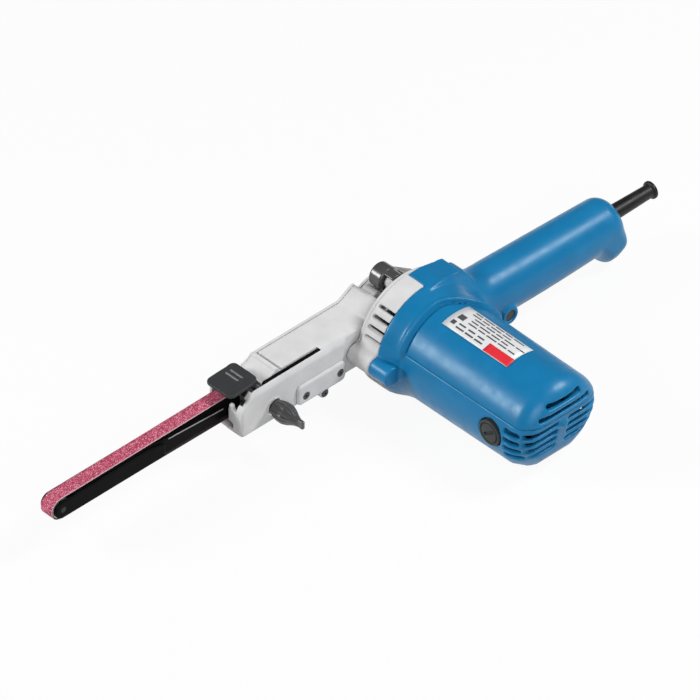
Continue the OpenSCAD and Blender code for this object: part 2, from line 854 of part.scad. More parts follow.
module field_coils() color("#b3622d") place() for (a = [90, -90]) {
    for (y = [stator_front - coil_end - gap, stator_back + gap])
        ring_sector(coil_in, coil_out, y, y + coil_end, a - coil_sweep, a + coil_sweep);
    for (s = [1 - coil_sweep, coil_sweep - coil_side - 1])
        ring_sector(coil_in + coil_inset[0], coil_out - coil_inset[1],
            stator_front - coil_lap, stator_back + coil_lap, a + s, a + s + coil_side);
}

module brush_holders() color("#c9a24b") place() for (s = [0, 1]) mirror([s, 0, 0]) difference() {
    union() {
        block([brush_in + 2 * seat_fit, brush_y - holder_half[0], -holder_half[1]],
            [holder_back, brush_y + holder_half[0], holder_half[1]]);
        xcyl(brush_cap_r - hole_fit, holder_back - holder_rim, holder_back, brush_y);
    }
    block([0, brush_y - brush_half[0] - seat_fit, -brush_half[1] - seat_fit],
        [far, brush_y + brush_half[0] + seat_fit, brush_half[1] + seat_fit]);
}

module carbon_brushes() color("#2b2b2d") place() for (s = [0, 1]) mirror([s, 0, 0])
    block([brush_in, brush_y - brush_half[0], -brush_half[1]],
        [brush_back, brush_y + brush_half[0], brush_half[1]]);

module brush_springs() color("#a9adb2") place() for (s = [0, 1]) mirror([s, 0, 0])
    translate([brush_back + spring_play, brush_y, 0]) rotate([0, 90, 0])
        coil_spring(brush_spring_r, thin_wire, cap_in - brush_back - 2 * spring_play, brush_turns);

module brush_caps() color("#2f3136") place() for (s = [0, 1]) mirror([s, 0, 0]) difference() {
    union() {
        xcyl(brush_cap_r, cap_in, cap_step, brush_y);
        xcyl(brush_cap_r - cap_edge, cap_step - cut, cap_out, brush_y);
    }
    block([cap_out - cap_slot[2], brush_y - cap_slot[0], -cap_slot[1]],
        [far, brush_y + cap_slot[0], cap_slot[1]]);
}

// A ball bearing drawn as its two races, joined, with a shield groove in each side
module bearing(outer_r, bore_r, y0, y1) difference() {
    ycyl(outer_r, y0, y1);
    ycyl(bore_r + run_fit, y0 - cut, y1 + cut);
    for (y = [y0 - cut, y1 - shield_d]) difference() {
        ycyl(outer_r - shield_in, y, y + shield_d + cut);
        ycyl(bore_r + shield_in, y - cut, y + 2 * shield_d);
    }
}

module front_bearing() color("#c4c7cb") place()
    bearing(front_bearing_r, shaft_r, bearing_front, bearing_front + bearing_len);

module rear_bearing() color("#c4c7cb") place()
    bearing(rear_bearing_r - run_fit, rear_shaft_r, rear_bearing_y[0], rear_bearing_y[1]);

module armature_shaft() color("#b8bcc2") place() difference() {
    union() {
        ycyl(shaft_r, shaft_tip, bearing_front + bearing_len + 2 * gap + cut);
        ycyl(main_shaft_r, bearing_front + bearing_len + 2 * gap, rear_bearing_y[0] - 2 * gap);
        ycyl(rear_shaft_r, rear_bearing_y[0] - end_gap, rear_bearing_y[1] + end_gap);
    }
    ycyl(shaft_hole_r, -far, shaft_hole_end);
}

module core_notches(w, r0, r1, y0, y1) for (i = [0 : core_slots - 1]) about_motor(i * 360 / core_slots)
    block([r0, y0, -w / 2], [r1, y1, w / 2]);

module armature_core() color("#7f848a") place() difference() {
    ycyl(core_r, core_front, core_back);
    ycyl(main_shaft_r + run_fit, core_front - cut, core_back + cut);
    core_notches(core_slot_w, core_r - core_slot_d, far, core_front - cut, core_back + cut);
}

module armature_windings() color("#b86a33") place() difference() {
    union() {
        for (y = [core_front - winding_end - seat_fit, core_back + seat_fit])
            ycyl(core_r - end_gap, y, y + winding_end);
        core_notches(winding_w, core_r - winding_d, core_r - end_gap,
            core_front - end_gap, core_back + end_gap);
    }
    ycyl(main_shaft_r + run_fit, 0, far);
}

module commutator() color("#c07a45") place() difference() {
    union() {
        ycyl(commutator_r + riser_h, riser_y, bars_y[0] + cut);
        ycyl(commutator_r, bars_y[0], bars_y[1]);
    }
    ycyl(main_shaft_r + run_fit, 0, far);
    for (i = [0 : commutator_bars - 1]) about_motor(i * 360 / commutator_bars)
        block([commutator_r - bar_gap_d, riser_y - cut, -bar_gap / 2], [far, bars_y[1] + cut, bar_gap / 2]);
}

module cooling_fan() color("#202124") place() difference() {
    union() {
        ycyl(fan_r, fan_back - fan_disc_t, fan_back);
        ycyl(main_shaft_r + fan_hub, fan_front, fan_back);
        for (i = [0 : fan_blades - 1]) about_motor(i * 360 / fan_blades)
            block([main_shaft_r + fan_hub / 2, fan_front, -blade_half],
                [fan_r - end_gap, fan_back - fan_disc_t / 2, blade_half]);
    }
    ycyl(main_shaft_r + run_fit, 0, far);
}

module drive_pulley() color("#2a2b2e") place() difference() {
    union() {
        ycyl(drive_r, -pulley_half, pulley_half);
        ycyl(shaft_r + pulley_hub, pulley_half - cut, bearing_front - hole_fit);
    }
    ycyl(shaft_r + run_fit, pulley_seat_y, far);
    ycyl(pulley_seat_r, -far, pulley_seat_y);
}

module pulley_screw() color("#9a9ea4") place() {
    ycyl(shaft_hole_r - seat_fit, pulley_screw_head[1] - cut, pulley_screw_tip);
    difference() {
        ycyl(pulley_seat_r - gap, pulley_screw_head[0], pulley_screw_head[1]);
        xz(-far, socket_floor) circle(socket_r, $fn = 6);
    }
}

// Belt head
// Side outline of the head: a round end about the pulley, a shoulder and a long box
module head_outline() {
    circle(head_rear_r);
    polygon([
        [0, -head_drop], [head_front, -head_drop], [head_front, head_top],
        [head_rear_r + shoulder_x[3], head_top], [head_rear_r + shoulder_x[2], head_top + shoulder_h],
        [head_rear_r + shoulder_x[1], head_top + shoulder_h], [head_rear_r + shoulder_x[0], cavity_top],
        [0, cavity_top]
    ]);
}

// Curved foot of the ramp in front of the ridge, up to a place in front of it
function ramp_points(front) = concat(
    [[ramp_top_x, far]], [for (p = ramp_curve) [ramp_top_x + p[0], head_top + p[1]]],
    [[ramp_foot_x, ramp_foot_z], [front, ramp_foot_z], [front, far]]);

// What is cut away above the ramp and under the release lever
module ramp_cut() {
    polygon(ramp_points(far));
    translate([ramp_foot_x + front_step[1] / 2, front_roof]) square(far);
}

module head_ridge() polygon([
    [ramp_top_x - ridge_w, head_top - ridge_h], [ramp_top_x - gap, head_top + ridge_h],
    [ramp_top_x, head_top - ridge_h]
]);

module clamp_ear() {
    half = clamp_bolt_r + clamp_ear_wall;
    ycyl(half, clamp_ear_y, head_back, clamp_x, clamp_z);
    block([clamp_x - half, clamp_ear_y, 0], [clamp_x + half, head_back, clamp_z]);
}

// Quarter round along the head's near top edge
module near_edge_round() {
    r = head_wall;
    difference() {
        block([cavity_rear, head_near - r, head_top - r], [far, far, far]);
        xcyl(r, cavity_rear - cut, far, head_near - r, head_top - r);
    }
}

module belt_housing() color("#c9cacb") place() difference() {
    union() {
        difference() {
            union() {
                xz(-chamber_far, head_back) head_outline();
                xz(head_back - cut, head_near) difference() {
                    head_outline();
                    circle(boss_sweep);
                }
                xz(-chamber_far, slot_far) head_ridge();
                clamp_ear();
                ycyl(clamp_lug_r, clamp_lug_y, clamp_ear_y - end_gap, clamp_lug_x, clamp_lug_z);
                ycyl(side_tab_r, slot_far, head_near, side_screws[1][0], side_screws[1][1]);
            }
            xz(-far, slot_far) ramp_cut();
            block([head_front - front_step[0], slot_far - cut, head_top - front_step[1]], [far, far, far]);
            block([head_front - notch_x, slot_far - cut, notch_z], [far, far, far]);
            block([head_front - front_step[0], 0, front_wall_top], [far, cavity_near, far]);
            near_edge_round();
            block([cavity_rear, -far, -cavity_drop], [ramp_top_x - head_wall, cavity_near, cavity_top]);
            block([ramp_top_x - head_wall - cut, -far, -cavity_drop],
                [head_front - head_wall, cavity_near, front_roof]);
            block([0, -far, -cavity_drop], [cavity_rear + cut, chamber_near, cavity_top]);
            ycyl(chamber_r, -far, chamber_near);
            block([head_front - head_wall - cut, -far, -cavity_drop],
                [far, cheek_out + 2 * gap, front_roof + cut]);
            block([carriage_rear - release_travel, slot_far, 0],
                [head_front - front_step[0], cavity_near, far]);
        }
        for (x = post_x) ycyl(post_r, -chamber_far, chamber_near + cut, x);
        ycyl(lever_lug_r, -chamber_far, -chamber_far + lever_lug_t, lever_x, lever_z);
        block([ramp_foot_x - head_wall, -chamber_far, front_roof],
            [lever_x + lever_lug_r - cut, -chamber_far + lever_lug_t, ramp_foot_z]);
    }
    ycyl(pivot_r + run_fit, nose_front - gap, far);
    ycyl(shaft_r + 3 * end_gap, 0, far);
    xcyl(spring_r + spring_wire, spring_seat, cavity_rear + end_gap, spring_y, spring_z);
    ycyl(clamp_bolt_r + hole_fit, 0, far, clamp_x, clamp_z);
    ycyl(lever_pin_r + touch, -chamber_far + 2 * seat_fit, head_near - end_gap, lever_x, lever_z);
    ycyl(tracking_screw_r + hole_fit, cavity_near - end_gap, far, tracking_x, tracking_z);
    for (x = post_x) ycyl(cover_screw_r, -far, cover_screw_tip + end_gap, x);
    for (p = side_screws) ycyl(side_screw_r, slot_far + end_gap, far, p[0], p[1]);
}

module belt_cover() color("#bfc1c3") place() difference() {
    xz(-head_far, -chamber_far - 0.05) difference() {
        head_outline();
        translate([ramp_foot_x, front_roof]) square(far);
        polygon(ramp_points(ramp_foot_x + cut));
    }
    for (x = post_x) {
        ycyl(cover_screw_r + seat_fit, -far, far, x);
        ycyl(cover_head_r + seat_fit, -far, -head_far + cover_head_t, x);
    }
}

module belt_cover_screws() color("#55585d") place() for (x = post_x) {
    ycyl(cover_screw_r - touch, -head_far + cover_head_t - cut, cover_screw_tip, x);
    difference() {
        ycyl(cover_head_r, -head_far - seat_fit, -head_far + cover_head_t - touch, x);
        block([x - cover_screw_r, -far, -gap], [x + cover_screw_r, -head_far + seat_fit, gap]);
    }
}

module side_plate() color("#c3c5c7") place() difference() {
    xz(head_near, head_near + side_plate_t) {
        translate([side_plate_x[0], side_plate_z[0]])
            square([side_plate_x[1] - side_plate_x[0] - side_corner, side_plate_z[1] - side_plate_z[0]]);
        translate([side_plate_x[0], side_plate_z[0]])
            square([side_plate_x[1] - side_plate_x[0], side_plate_z[1] - side_plate_z[0] - side_corner]);
        translate([side_plate_x[1] - side_corner, side_plate_z[1] - side_corner]) circle(side_corner);
        translate(side_screws[1]) circle(side_tab_r);
    }
    for (p = side_screws) {
        ycyl(side_screw_r + hole_fit, 0, far, p[0], p[1]);
        ycyl(side_head_r + seat_fit, head_near + side_head_t, far, p[0], p[1]);
    }
}

module side_plate_screws() color("#2d2e31") place() for (p = side_screws) {
    ycyl(side_screw_r - touch, cavity_near + seat_fit, head_near + side_head_t + cut, p[0], p[1]);
    difference() {
        ycyl(side_head_r, head_near + side_head_t + touch, head_near + side_plate_t, p[0], p[1]);
        translate([p[0], 0, p[1]]) xz(head_near + side_head_t + 2 * seat_fit, far)
            circle(side_head_r - side_screw_r, $fn = 6);
    }
}

module clamp_bolt() color("#8a8e94") place() {
    nut_y = drum_front + drum_plate + gap;
    ycyl(clamp_bolt_r, clamp_hub_y + clamp_cap + gap, nut_y + nut_t, clamp_x, clamp_z);
    block([clamp_x - nut_half, nut_y, clamp_z - nut_low],
        [clamp_x + nut_half, nut_y + nut_t, clamp_z + nut_high]);
}

module lever_pin() color("#9a9ea4") place()
    ycyl(lever_pin_r, -chamber_far + 3 * seat_fit, head_near - end_gap - seat_fit, lever_x, lever_z);

module tracking_washer() color("#e3e4e5") place() difference() {
    ycyl(knob_r - 2 * gap, head_near, head_near + washer_t, tracking_x, tracking_z);
    ycyl(tracking_screw_r + hole_fit, 0, far, tracking_x, tracking_z);
}

module tension_spring() color("#a9adb2") place()
    translate([spring_seat + spring_play, spring_y, spring_z]) rotate([0, 90, 0])
        coil_spring(spring_r, spring_wire, carriage_rear - spring_seat - 2 * spring_play, spring_turns);

module abrasive_belt() color("#b5314f") place() belt_loop();

// Belt arm
module arm_carriage() color("#9ea2a7") place() difference() {
    union() {
        block([carriage_rear, carriage_far, -cavity_drop + gap],
            [carriage_front, cavity_near - gap, carriage_top]);
        block([arm_rear, bar_half, -pad_half], [arm_screw_x[1] + pad_half, carriage_far + cut, pad_half]);
    }
    for (x = arm_screw_x) ycyl(arm_screw_r, 0, carriage_far + pad_half + end_gap, x);
}

module arm_profile() {
    slope_x = head_front + 2 * shoe_step;
    polygon([
        [arm_rear, arm_low], [shoe_rear - shoe_step, arm_low], [shoe_rear, shoe_low],
        [nose_x - nose_room, shoe_low], [nose_x - nose_room, arm_high], [shoe_rear + shoe_slope, arm_high],
        [shoe_rear - 2 * shoe_step, arm_mid_z[1]], [slope_x, arm_mid_z[0]], [arm_rear, arm_rear_z]
    ]);
}

module cheek_profile() {
    polygon([
        [shoe_rear, -nose_cheek_r], [nose_x, -nose_cheek_r], [nose_x, nose_cheek_r],
        [shoe_rear + shoe_slope, nose_cheek_r], [shoe_rear, nose_cheek_r / 2]
    ]);
    translate([nose_x, 0]) circle(nose_cheek_r);
}

module belt_arm() color("#16171a") place() difference() {
    union() {
        xz(-bar_half, bar_half) arm_profile();
        for (s = [0, 1]) mirror([0, s, 0]) {
            xz(cheek_in, cheek_out) cheek_profile();
            block([shoe_rear + shoe_step, bar_half - cut, web_z[0]],
                [nose_x - nose_room, cheek_in + cut, web_z[1]]);
        }
    }
    ycyl(nose_axle_r, -far, far, nose_x);
    for (x = arm_screw_x) {
        ycyl(arm_screw_r + hole_fit, -far, far, x);
        ycyl(arm_head_r + seat_fit, -far, -bar_half + arm_head_t + touch, x);
    }
}

module contact_shoe() color("#5b5e63") place()
    block([shoe_rear + end_gap, -bar_half, shoe_low - shoe_t + seat_fit],
        [nose_x - nose_room - end_gap, bar_half, shoe_low]);

module tension_link() color("#26272a") place() block(
    [carriage_rear + shoe_step, slot_far + gap, carriage_top],
    [lever_x - lever_barrel_r - end_gap, slot_far + gap + link_t, cavity_top + link_high]);

module nose_axle() color("#a4a8ad") place() ycyl(nose_axle_r, -cheek_out, cheek_out, nose_x);

module arm_screws() color("#55585d") place() for (x = arm_screw_x) {
    ycyl(arm_screw_r - touch, -bar_half + arm_head_t - cut, carriage_far + pad_half, x);
    difference() {
        ycyl(arm_head_r, -bar_half + hole_fit, -bar_half + arm_head_t, x);
        translate([x, 0, 0]) xz(-far, -bar_half + arm_head_t / 2) circle(arm_head_r / 2, $fn = 6);
    }
}

module nose_roller() color("#3b3d41") place() difference() {
    ycyl(nose_r, -belt_w / 2, belt_w / 2, nose_x);
    ycyl(nose_axle_r + run_fit, -far, far, nose_x);
}

module release_lever() color("#35373a") place() difference() {
    union() {
        block([lever_x - lever_back, -head_far + gap, lever_top - lever_t],
            [lever_x + lever_len - lever_back, slot_far + lever_over, lever_top]);
        ycyl(lever_barrel_r, lever_far, slot_far - gap, lever_x, lever_z);
        block([lever_x - lever_back, lever_far, lever_z],
            [lever_x + lever_barrel_r, slot_far - gap, lever_top - lever_t + cut]);
        for (x = lever_ribs)
            block([lever_x + x, lever_rib_y[0], lever_top - cut],
                [lever_x + x + lever_rib_w, lever_rib_y[1], lever_top + lever_rib_h]);
    }
    ycyl(lever_pin_r + run_fit, -far, far, lever_x, lever_z);
}

module tracking_knob() color("#222326") place() translate([tracking_x, knob_base, tracking_z]) difference() {
    union() {
        spin() polygon(concat([[0, 0]],
            [for (s = knob_steps) [knob_r - s[0], knob_len * s[1]]], [[0, knob_len]]));
        block([-knob_tab_half[0], knob_len - end_gap, -knob_tab_half[1]],
            [knob_tab_half[0], knob_len + knob_tab, knob_tab_half[1]]);
    }
    for (i = [0 : knob_flutes - 1]) about_motor(i * 360 / knob_flutes)
        ycyl(knob_flute_r, knob_roof, knob_len - knob_roof, knob_r + gap);
    ycyl(tracking_screw_r, -end_gap, knob_len - knob_roof);
}

module tracking_screw() color("#a4a8ad") place()
    ycyl(tracking_screw_r - touch / 2, cavity_near + touch, knob_base + knob_len - knob_roof - gap,
        tracking_x, tracking_z);

module clamp_lever() color("#1d1e21") place() difference() {
    union() {
        ycyl(clamp_hub_r, clamp_hub_y, clamp_ear_y - gap, clamp_x, clamp_z);
        translate([clamp_x, 0, clamp_z]) about_motor(clamp_rest) xz(clamp_tail_y, clamp_ear_y - 2 * gap)
            polygon([
                [0, clamp_hub_r - end_gap], clamp_tail + [0, clamp_tail_r],
                clamp_tail + [-clamp_tip, clamp_tip / 2], clamp_tail + [-clamp_tip, -clamp_tip / 2],
                clamp_tail - [0, clamp_tail_r], [0, end_gap - clamp_hub_r]
            ]);
    }
    ycyl(clamp_bolt_r + run_fit, clamp_hub_y + clamp_cap, far, clamp_x, clamp_z);
}

// Handle
module switch_body() color("#26282b") place() difference() {
    block([trigger_x[0] - switch_ends[0], handle_y - switch_half, switch_floor],
        [trigger_x[1] + switch_ends[1], handle_y + switch_half, switch_top]);
    for (s = [-1, 1]) translate([trigger_x[0], handle_y + s * terminal_y, 0])
        block([-far, -terminal_half, 0], [-end_gap, terminal_half, terminal_h]);
}

module trigger() color("#1f2023") place() {
    lip = lid_z + gap;
    block([trigger_x[0], handle_y - trigger_half, trigger_low + trigger_half],
        [trigger_x[1], handle_y + trigger_half, lip + cut]);
    xcyl(trigger_half, trigger_x[0], trigger_x[1], handle_y, trigger_low + trigger_half);
    block([trigger_x[0] - trigger_lip_out, handle_y - trigger_half, lip],
        [trigger_x[1] + trigger_lip_out, handle_y + trigger_half, lip + trigger_lip]);
}

module trigger_springs() color("#a9adb2") place() {
    foot = lid_z + gap + trigger_lip + spring_play;
    for (x = [trigger_x[0] + trigger_spring_in, trigger_x[1] - trigger_spring_in])
        translate([x, handle_y, foot])
            coil_spring(trigger_spring_r, thin_wire, switch_floor - spring_play - foot, small_turns);
}

module lock_button() color("#17181a") place() {
    ycyl(button_r, button_in, button_out - button_sunk, button_x, button_z);
    ycyl(button_lip_r, button_in, button_in + button_lip, button_x, button_z);
}

module button_spring() color("#a9adb2") place()
    translate([button_x, button_in - spring_play, button_z]) rotate([90, 0, 0])
        coil_spring(button_spring_r, button_wire, button_in - button_seat - 2 * spring_play, small_turns);

module cord_clamp() color("#2c2d30") place() {
    block([clamp_bar_x[0], handle_y - clamp_bar_half, clamp_bar_floor],
        [clamp_bar_x[1], handle_y + clamp_bar_half, hollow_top - end_gap]);
    for (s = [-1, 1]) zcyl(clamp_foot_r, clamp_foot_floor, clamp_bar_floor + cut,
        (clamp_bar_x[0] + clamp_bar_x[1]) / 2, handle_y + s * clamp_foot_y);
}

module cord_guard() color("#18191b") place() difference() {
    union() {
        xcyl(guard_r, grip_end_x, grip_end_x + handle_wall + gap, handle_y);
        translate([grip_end_x + handle_wall + gap, 0, 0]) xcyl(guard_lock_r, 0, guard_lock_t, handle_y);
        translate([guard_tip, handle_y, 0]) rotate([0, 90, 0])
            cylinder(r1 = guard_r - guard_taper, r2 = guard_r, h = guard_len);
        xcyl(guard_flange_r, guard_tip, guard_tip + guard_flange_t, handle_y);
    }
    xcyl(cord_bore_r, -far, 0, handle_y);
}

main_housing();
motor_cover();
handle_cover();
front_bracket();
bracket_screws();
cover_screws();
handle_screws();
stator_core();
field_coils();
brush_holders();
carbon_brushes();
brush_springs();
brush_caps();
front_bearing();
rear_bearing();
switch_body();
cord_clamp();
cord_guard();
armature_shaft();
armature_core();
armature_windings();
commutator();
cooling_fan();
drive_pulley();
pulley_screw();
belt_housing();
belt_cover();
belt_cover_screws();
side_plate();
side_plate_screws();
clamp_bolt();
lever_pin();
tracking_washer();
tension_spring();
abrasive_belt();
arm_carriage();
belt_arm();
contact_shoe();
tension_link();
nose_axle();
arm_screws();
nose_roller();
release_lever();
tracking_knob();
tracking_screw();
clamp_lever();
trigger();
trigger_springs();
lock_button();
button_spring();
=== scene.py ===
"""Looks of the power file: smooth shells, procedural materials, light and camera.

Shapes are written in millimetres in the drawing frame, about the motor axis: X forward to the
belt's nose, Y along the motor axis to the motor's end, Z up. to_row() moves them to the row frame.
"""
import json
import math

import bpy
import numpy as np
from mathutils import Matrix, Vector


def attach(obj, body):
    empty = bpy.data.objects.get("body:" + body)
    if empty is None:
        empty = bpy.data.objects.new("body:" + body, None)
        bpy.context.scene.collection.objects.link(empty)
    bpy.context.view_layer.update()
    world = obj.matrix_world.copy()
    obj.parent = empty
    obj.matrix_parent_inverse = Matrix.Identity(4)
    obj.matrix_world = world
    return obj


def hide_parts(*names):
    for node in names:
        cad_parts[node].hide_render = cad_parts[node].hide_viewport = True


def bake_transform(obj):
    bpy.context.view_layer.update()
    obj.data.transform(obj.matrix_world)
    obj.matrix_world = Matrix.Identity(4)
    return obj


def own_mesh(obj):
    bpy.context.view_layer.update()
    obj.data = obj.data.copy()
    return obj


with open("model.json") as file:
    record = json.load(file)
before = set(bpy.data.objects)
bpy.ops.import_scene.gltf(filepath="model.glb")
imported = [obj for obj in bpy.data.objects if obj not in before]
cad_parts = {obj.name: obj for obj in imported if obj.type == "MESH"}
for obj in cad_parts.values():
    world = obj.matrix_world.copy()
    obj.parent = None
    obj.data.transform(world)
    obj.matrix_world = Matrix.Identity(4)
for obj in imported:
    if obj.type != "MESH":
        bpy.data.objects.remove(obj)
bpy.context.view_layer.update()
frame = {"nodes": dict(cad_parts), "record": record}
nodes = frame["nodes"]

# Drawing frame to row frame
MM = 0.001
REST_Y = 80
BASE = 27.5

# Round forms are written as a centre, a radius and two ends; AXIS is the motor's, in X and Z.
# FAR runs past every form, and NOWHERE is a distance outside them all.
AXIS = (0, 0)
FAR = 90
NOWHERE = np.float32(1e9)
GAP = 0.3
FINE_GAP = 0.2
FACE_GAP = 0.05

# Belt and arm
BELT_W = 9
BELT_T = 0.8
BELT_ROUND = 0.15
BELT_BEVEL = (0.45, 0.3)
RUN_STEPS = 60
WRAP_STEPS = 40
DRIVE_IN = 8.35
NOSE_IN = 6.3
NOSE_X = 242.147
AXLE_HOLE = ((NOSE_X, 0), 1.8, -FAR, FAR)
ARM_HALF = 4.1
ARM_REAR = 62
ARM_LOW = -5.6
ARM_HIGH = 5.4
ARM_TIP = NOSE_X - 8
ARM_BACK = [(ARM_REAR, 4.6), (125, 0.5), (170, 0.5), (170, ARM_LOW), (ARM_REAR, ARM_LOW)]
ARM_RISE = [(122, 0.4), (163, 2.8), (170, 2.8), (170, ARM_LOW), (122, ARM_LOW)]
ARM_FRONT = [(158, 2.4), (176, ARM_HIGH), (ARM_TIP, ARM_HIGH), (ARM_TIP, -ARM_HIGH), (158, -ARM_HIGH)]
SHOE_REAR = 167
CHEEK_Y = (4.8, 6.3)
CHEEK_R = 5.6
CHEEK = [(SHOE_REAR, 3), (SHOE_REAR + 12, CHEEK_R), (NOSE_X, CHEEK_R), (NOSE_X, -CHEEK_R),
         (SHOE_REAR, -CHEEK_R)]
WEB_HALF = 5.2
WEB_Z = (-4.5, 2.8)
# Inset and radius of the pale strip on the arm's upper edge, a painted highlight
GLINT_IN = 0.25
GLINT_R = 0.35

# Belt head
HEAD_FRONT = 121
HEAD_FAR = -6.4
HEAD_NEAR = 18
HEAD_TOP = 14.5
HEAD_LOW = -13
HEAD_BACK = 16.7
HEAD_REAR = 14
HEAD_ROUND = (AXIS, 18.4, HEAD_FAR, HEAD_BACK)
HEAD_WALL = 2.5
HEAD_ROLL = 4.5
CAVITY_NEAR = 15.5
CAVITY_LOW = -10.5
CAVITY_TOP = 12
CAVITY_REAR = 46
CHAMBER_NEAR = 6.6
CHAMBER = (AXIS, 11, -FAR, CHAMBER_NEAR)
SLOT_FAR = 12.7
SLOT_REAR = 51
SLOT_OPEN = 60.6
SLOT_ROOF = 13.6
STEP_X = 112
MOUTH_NEAR = 6.9
NOTCH_Y = (5, 10.4)
NOTCH_TOP = -6.4
FRONT_POST_Y = (7, 9.8)
POST_TOP = 5.2
NEAR_SLOPE = [(111.5, 14.5), (111.5, 40), (140, 40), (140, 5), (121, 5)]
FRONT_WALL_TOP = 2.4
RAMP_TOP = 90
RAMP_Z = 11
BOWL_X = 10.6
BOWL_R = 10.5
LIP = ((RAMP_TOP + 0.4, HEAD_TOP - 0.2), 1.7, HEAD_FAR, SLOT_FAR)
GROOVE_X = (RAMP_TOP - 3.1, RAMP_TOP - 1.7)
GROOVE_Z = HEAD_TOP - 1.7
LEDGE_X = 101.5
ROOF_Z = 9.5
SHOULDER = [(12.6, 12), (14, 20), (16, 20), (25.8, 14.5), (25.8, 12)]
SHOULDER_RISE = 1.2
SHOULDER_Y = (2, 15)
KNUCKLE = ((10.6, 16.4), 4.4, -2, 8)
COVER_POSTS = (25, 43)
COVER_POST_R = 3.4
SPRING_SEAT = ((10.8, -2), 4.5, CAVITY_REAR - 4, CAVITY_REAR + 1)
SHAFT_ROOM = (AXIS, 7, 0, FAR)
PIVOT_R = 15.05
PIVOT_SOCKET = (AXIS, PIVOT_R, 6.7, FAR)

# Release lever
LEVER = (105, 11.5)
LEVER_TOP = 16
LEVER_X = (104, 125.5)
LEVER_Y = (-7.7, 13.5)
LEVER_HALF = 1
LEVER_LIFT = 1.3
LEVER_LIFT_X = (LEVER_X[0], 109.5)
LEVER_DIP = 0.5
LEVER_DIP_X = (112, 126)
LEVER_RIBS = (109.4, 112.8)
RIB_HALF = 0.75
RIB_Y = (-4, 6)
BARREL_Y = (-4.4, 12.4)
BARREL = (LEVER, 2.4, *BARREL_Y)
BARREL_BORE = (LEVER, 1.35, -FAR, FAR)
EYE_BACK = HEAD_FAR + 1.6
EYE = (LEVER, 2.2, HEAD_FAR, EYE_BACK)
EYE_STRAP_X = (95.5, 107.1)
PIN_HOLE = (LEVER, 1.4, -6, CAVITY_NEAR + 0.4)

# Clamp lever and the slot of its bolt
CLAMP = (3, 26.33)
CLAMP_REST = math.radians(28)
CLAMP_END = 8.7
CLAMP_HUB = (CLAMP, 7.2, 0, CLAMP_END)
CLAMP_BORE = (CLAMP, 3.05, 1.5, FAR)
CLAMP_HOLE = (CLAMP, 3.1, 0, FAR)
CLAMP_EYE = (CLAMP, 4, 9, HEAD_BACK)
CLAMP_EAR = ((CLAMP[0] - 3.4, 9, 5), (CLAMP[0] + 3.4, HEAD_BACK, CLAMP[1]))
CLAMP_TAIL = [(-22, 3.5), (0, 6.2), (0, -6.2), (-22, -1.3)]
CLAMP_TIP = (-21.6, 1.1)
CLAMP_TIP_R = 2.2
CLAMP_ARM_FAR = 3
CLAMP_WING_END = 13
CLAMP_WING_R = 7.6
RING_R = 5.2
# The dark skirt round the bolt is painted shade: it covers the bright ear where shade falls
SKIRT_R = 5.6
SKIRT_HALF = 1.1
SKIRT_Y = (5, 15.4)
SKIRT_MID = math.radians(119)
SKIRT_REACH = math.radians(60)
SWING_R = 26.5
SWING_HALF = 3.4
SWING_MID = math.radians(83.5)
SWING_REACH = math.radians(39)
SWING_Y = (10, 20.5)

# Tracking knob and side plate
TRACKING = (97.5, -3.1)
TRACKING_HOLE = (TRACKING, 2.6, 14, FAR)
KNOB_BORE = (TRACKING, 2.5, 0, 33.5)
KNOB_BASE = 19.5
KNOB_LEN = 18
KNOB_TIP = KNOB_BASE + KNOB_LEN
KNOB_R = 4.9
KNOB_SWELL = 1.2
KNOB_TAPER = 3.7
FLUTES = 14
FLUTE_DEPTH = 0.5
BOSS_SWEEP = 45
SIDE_SCREWS = ((75, -8), (61, -14.4), (49.5, -6.5))
SIDE_TAB_R = 3.2
SIDE_TAB = (SIDE_SCREWS[1], SIDE_TAB_R, SLOT_FAR, HEAD_NEAR)
SMALL_SCREW_R = 1.5
SMALL_HEAD_R = 2.4

# Bracket
DRUM_R = 36
CROWN = 35.9
RIM_R = 34.5
REAR_DRUM_R = 33.1
REAR_DRUM_WALL = 1.6
DRUM_FRONT = 17
DRUM_BACK = 34
DRUM_WALL = 3
DRUM_PLATE = 20
PIVOT = (AXIS, PIVOT_R - FACE_GAP, 7, DRUM_PLATE + 1)
PIVOT_ROOM = (AXIS, PIVOT_R, 0, DRUM_PLATE + 1)
FRONT_BEARING = (AXIS, 11.05, 8.5, FAR)
PIVOT_BORE = (AXIS, 9.5, 0, FAR)
VENT_ANGLES = (20, 30, 40, 50, -20, -30, -40)
VENT_FRONT = 22
VENT_HALF = 1.4
VENT_TOP = 35.2
VENT_DROP = 7
VENT_SLOPE = (-0.7, 0.9)
SADDLE_FRONT = 20.8
SADDLE_BACK = DRUM_BACK + 4
SADDLE_T = 2.6
EAR = [(-25.5, 12), (-25.5, 33), (-9.5, 35.4), (-3, 35.4), (-3, 12)]
EAR_BACK = 36.4

# Motor housing
MOTOR_R = 31
MOTOR_TAPER = 0.5
MOTOR_TAPER_Y = (50, 140)
COLLAR_H = 2.5
COLLAR_CRISP_Z = (4, 16)
COLLAR_EDGE = (0.4, 1.5)
COLLAR_FADE_Y = (38, 52)
COLLAR_FLARE_Y = (33, 46)
BEAD_H = 0.8
BEAD_AT = 2.6
BEAD_W = 1.3
END = 145.7
END_ROUND = 13
END_NUB = ((0, 5), 2.2, END - 6, END - 0.3)
LEAN = math.radians(13)
SEAM = 12
COVER_FRONT = 49
COVER_SWING = (-36, 28)
COVER_SWING_R = 37
SHELL = 3
BOSS_R = 6.1
BOSS_DIST = 36.5
BOSS_END = 48
REAR_BOSSES = (140, 213)
REAR_SEAT = 23.2
LUG_R = 3.4
REAR_BOSS_R = 4.9
LUG_FRONT = 25.5
SCREW_R = 2
SCREW_HEAD_R = 3.9
BEARING_SEAT = (AXIS, 13, 129, END)
REAR_BEARING = (AXIS, 9.5, 128, 135.2)
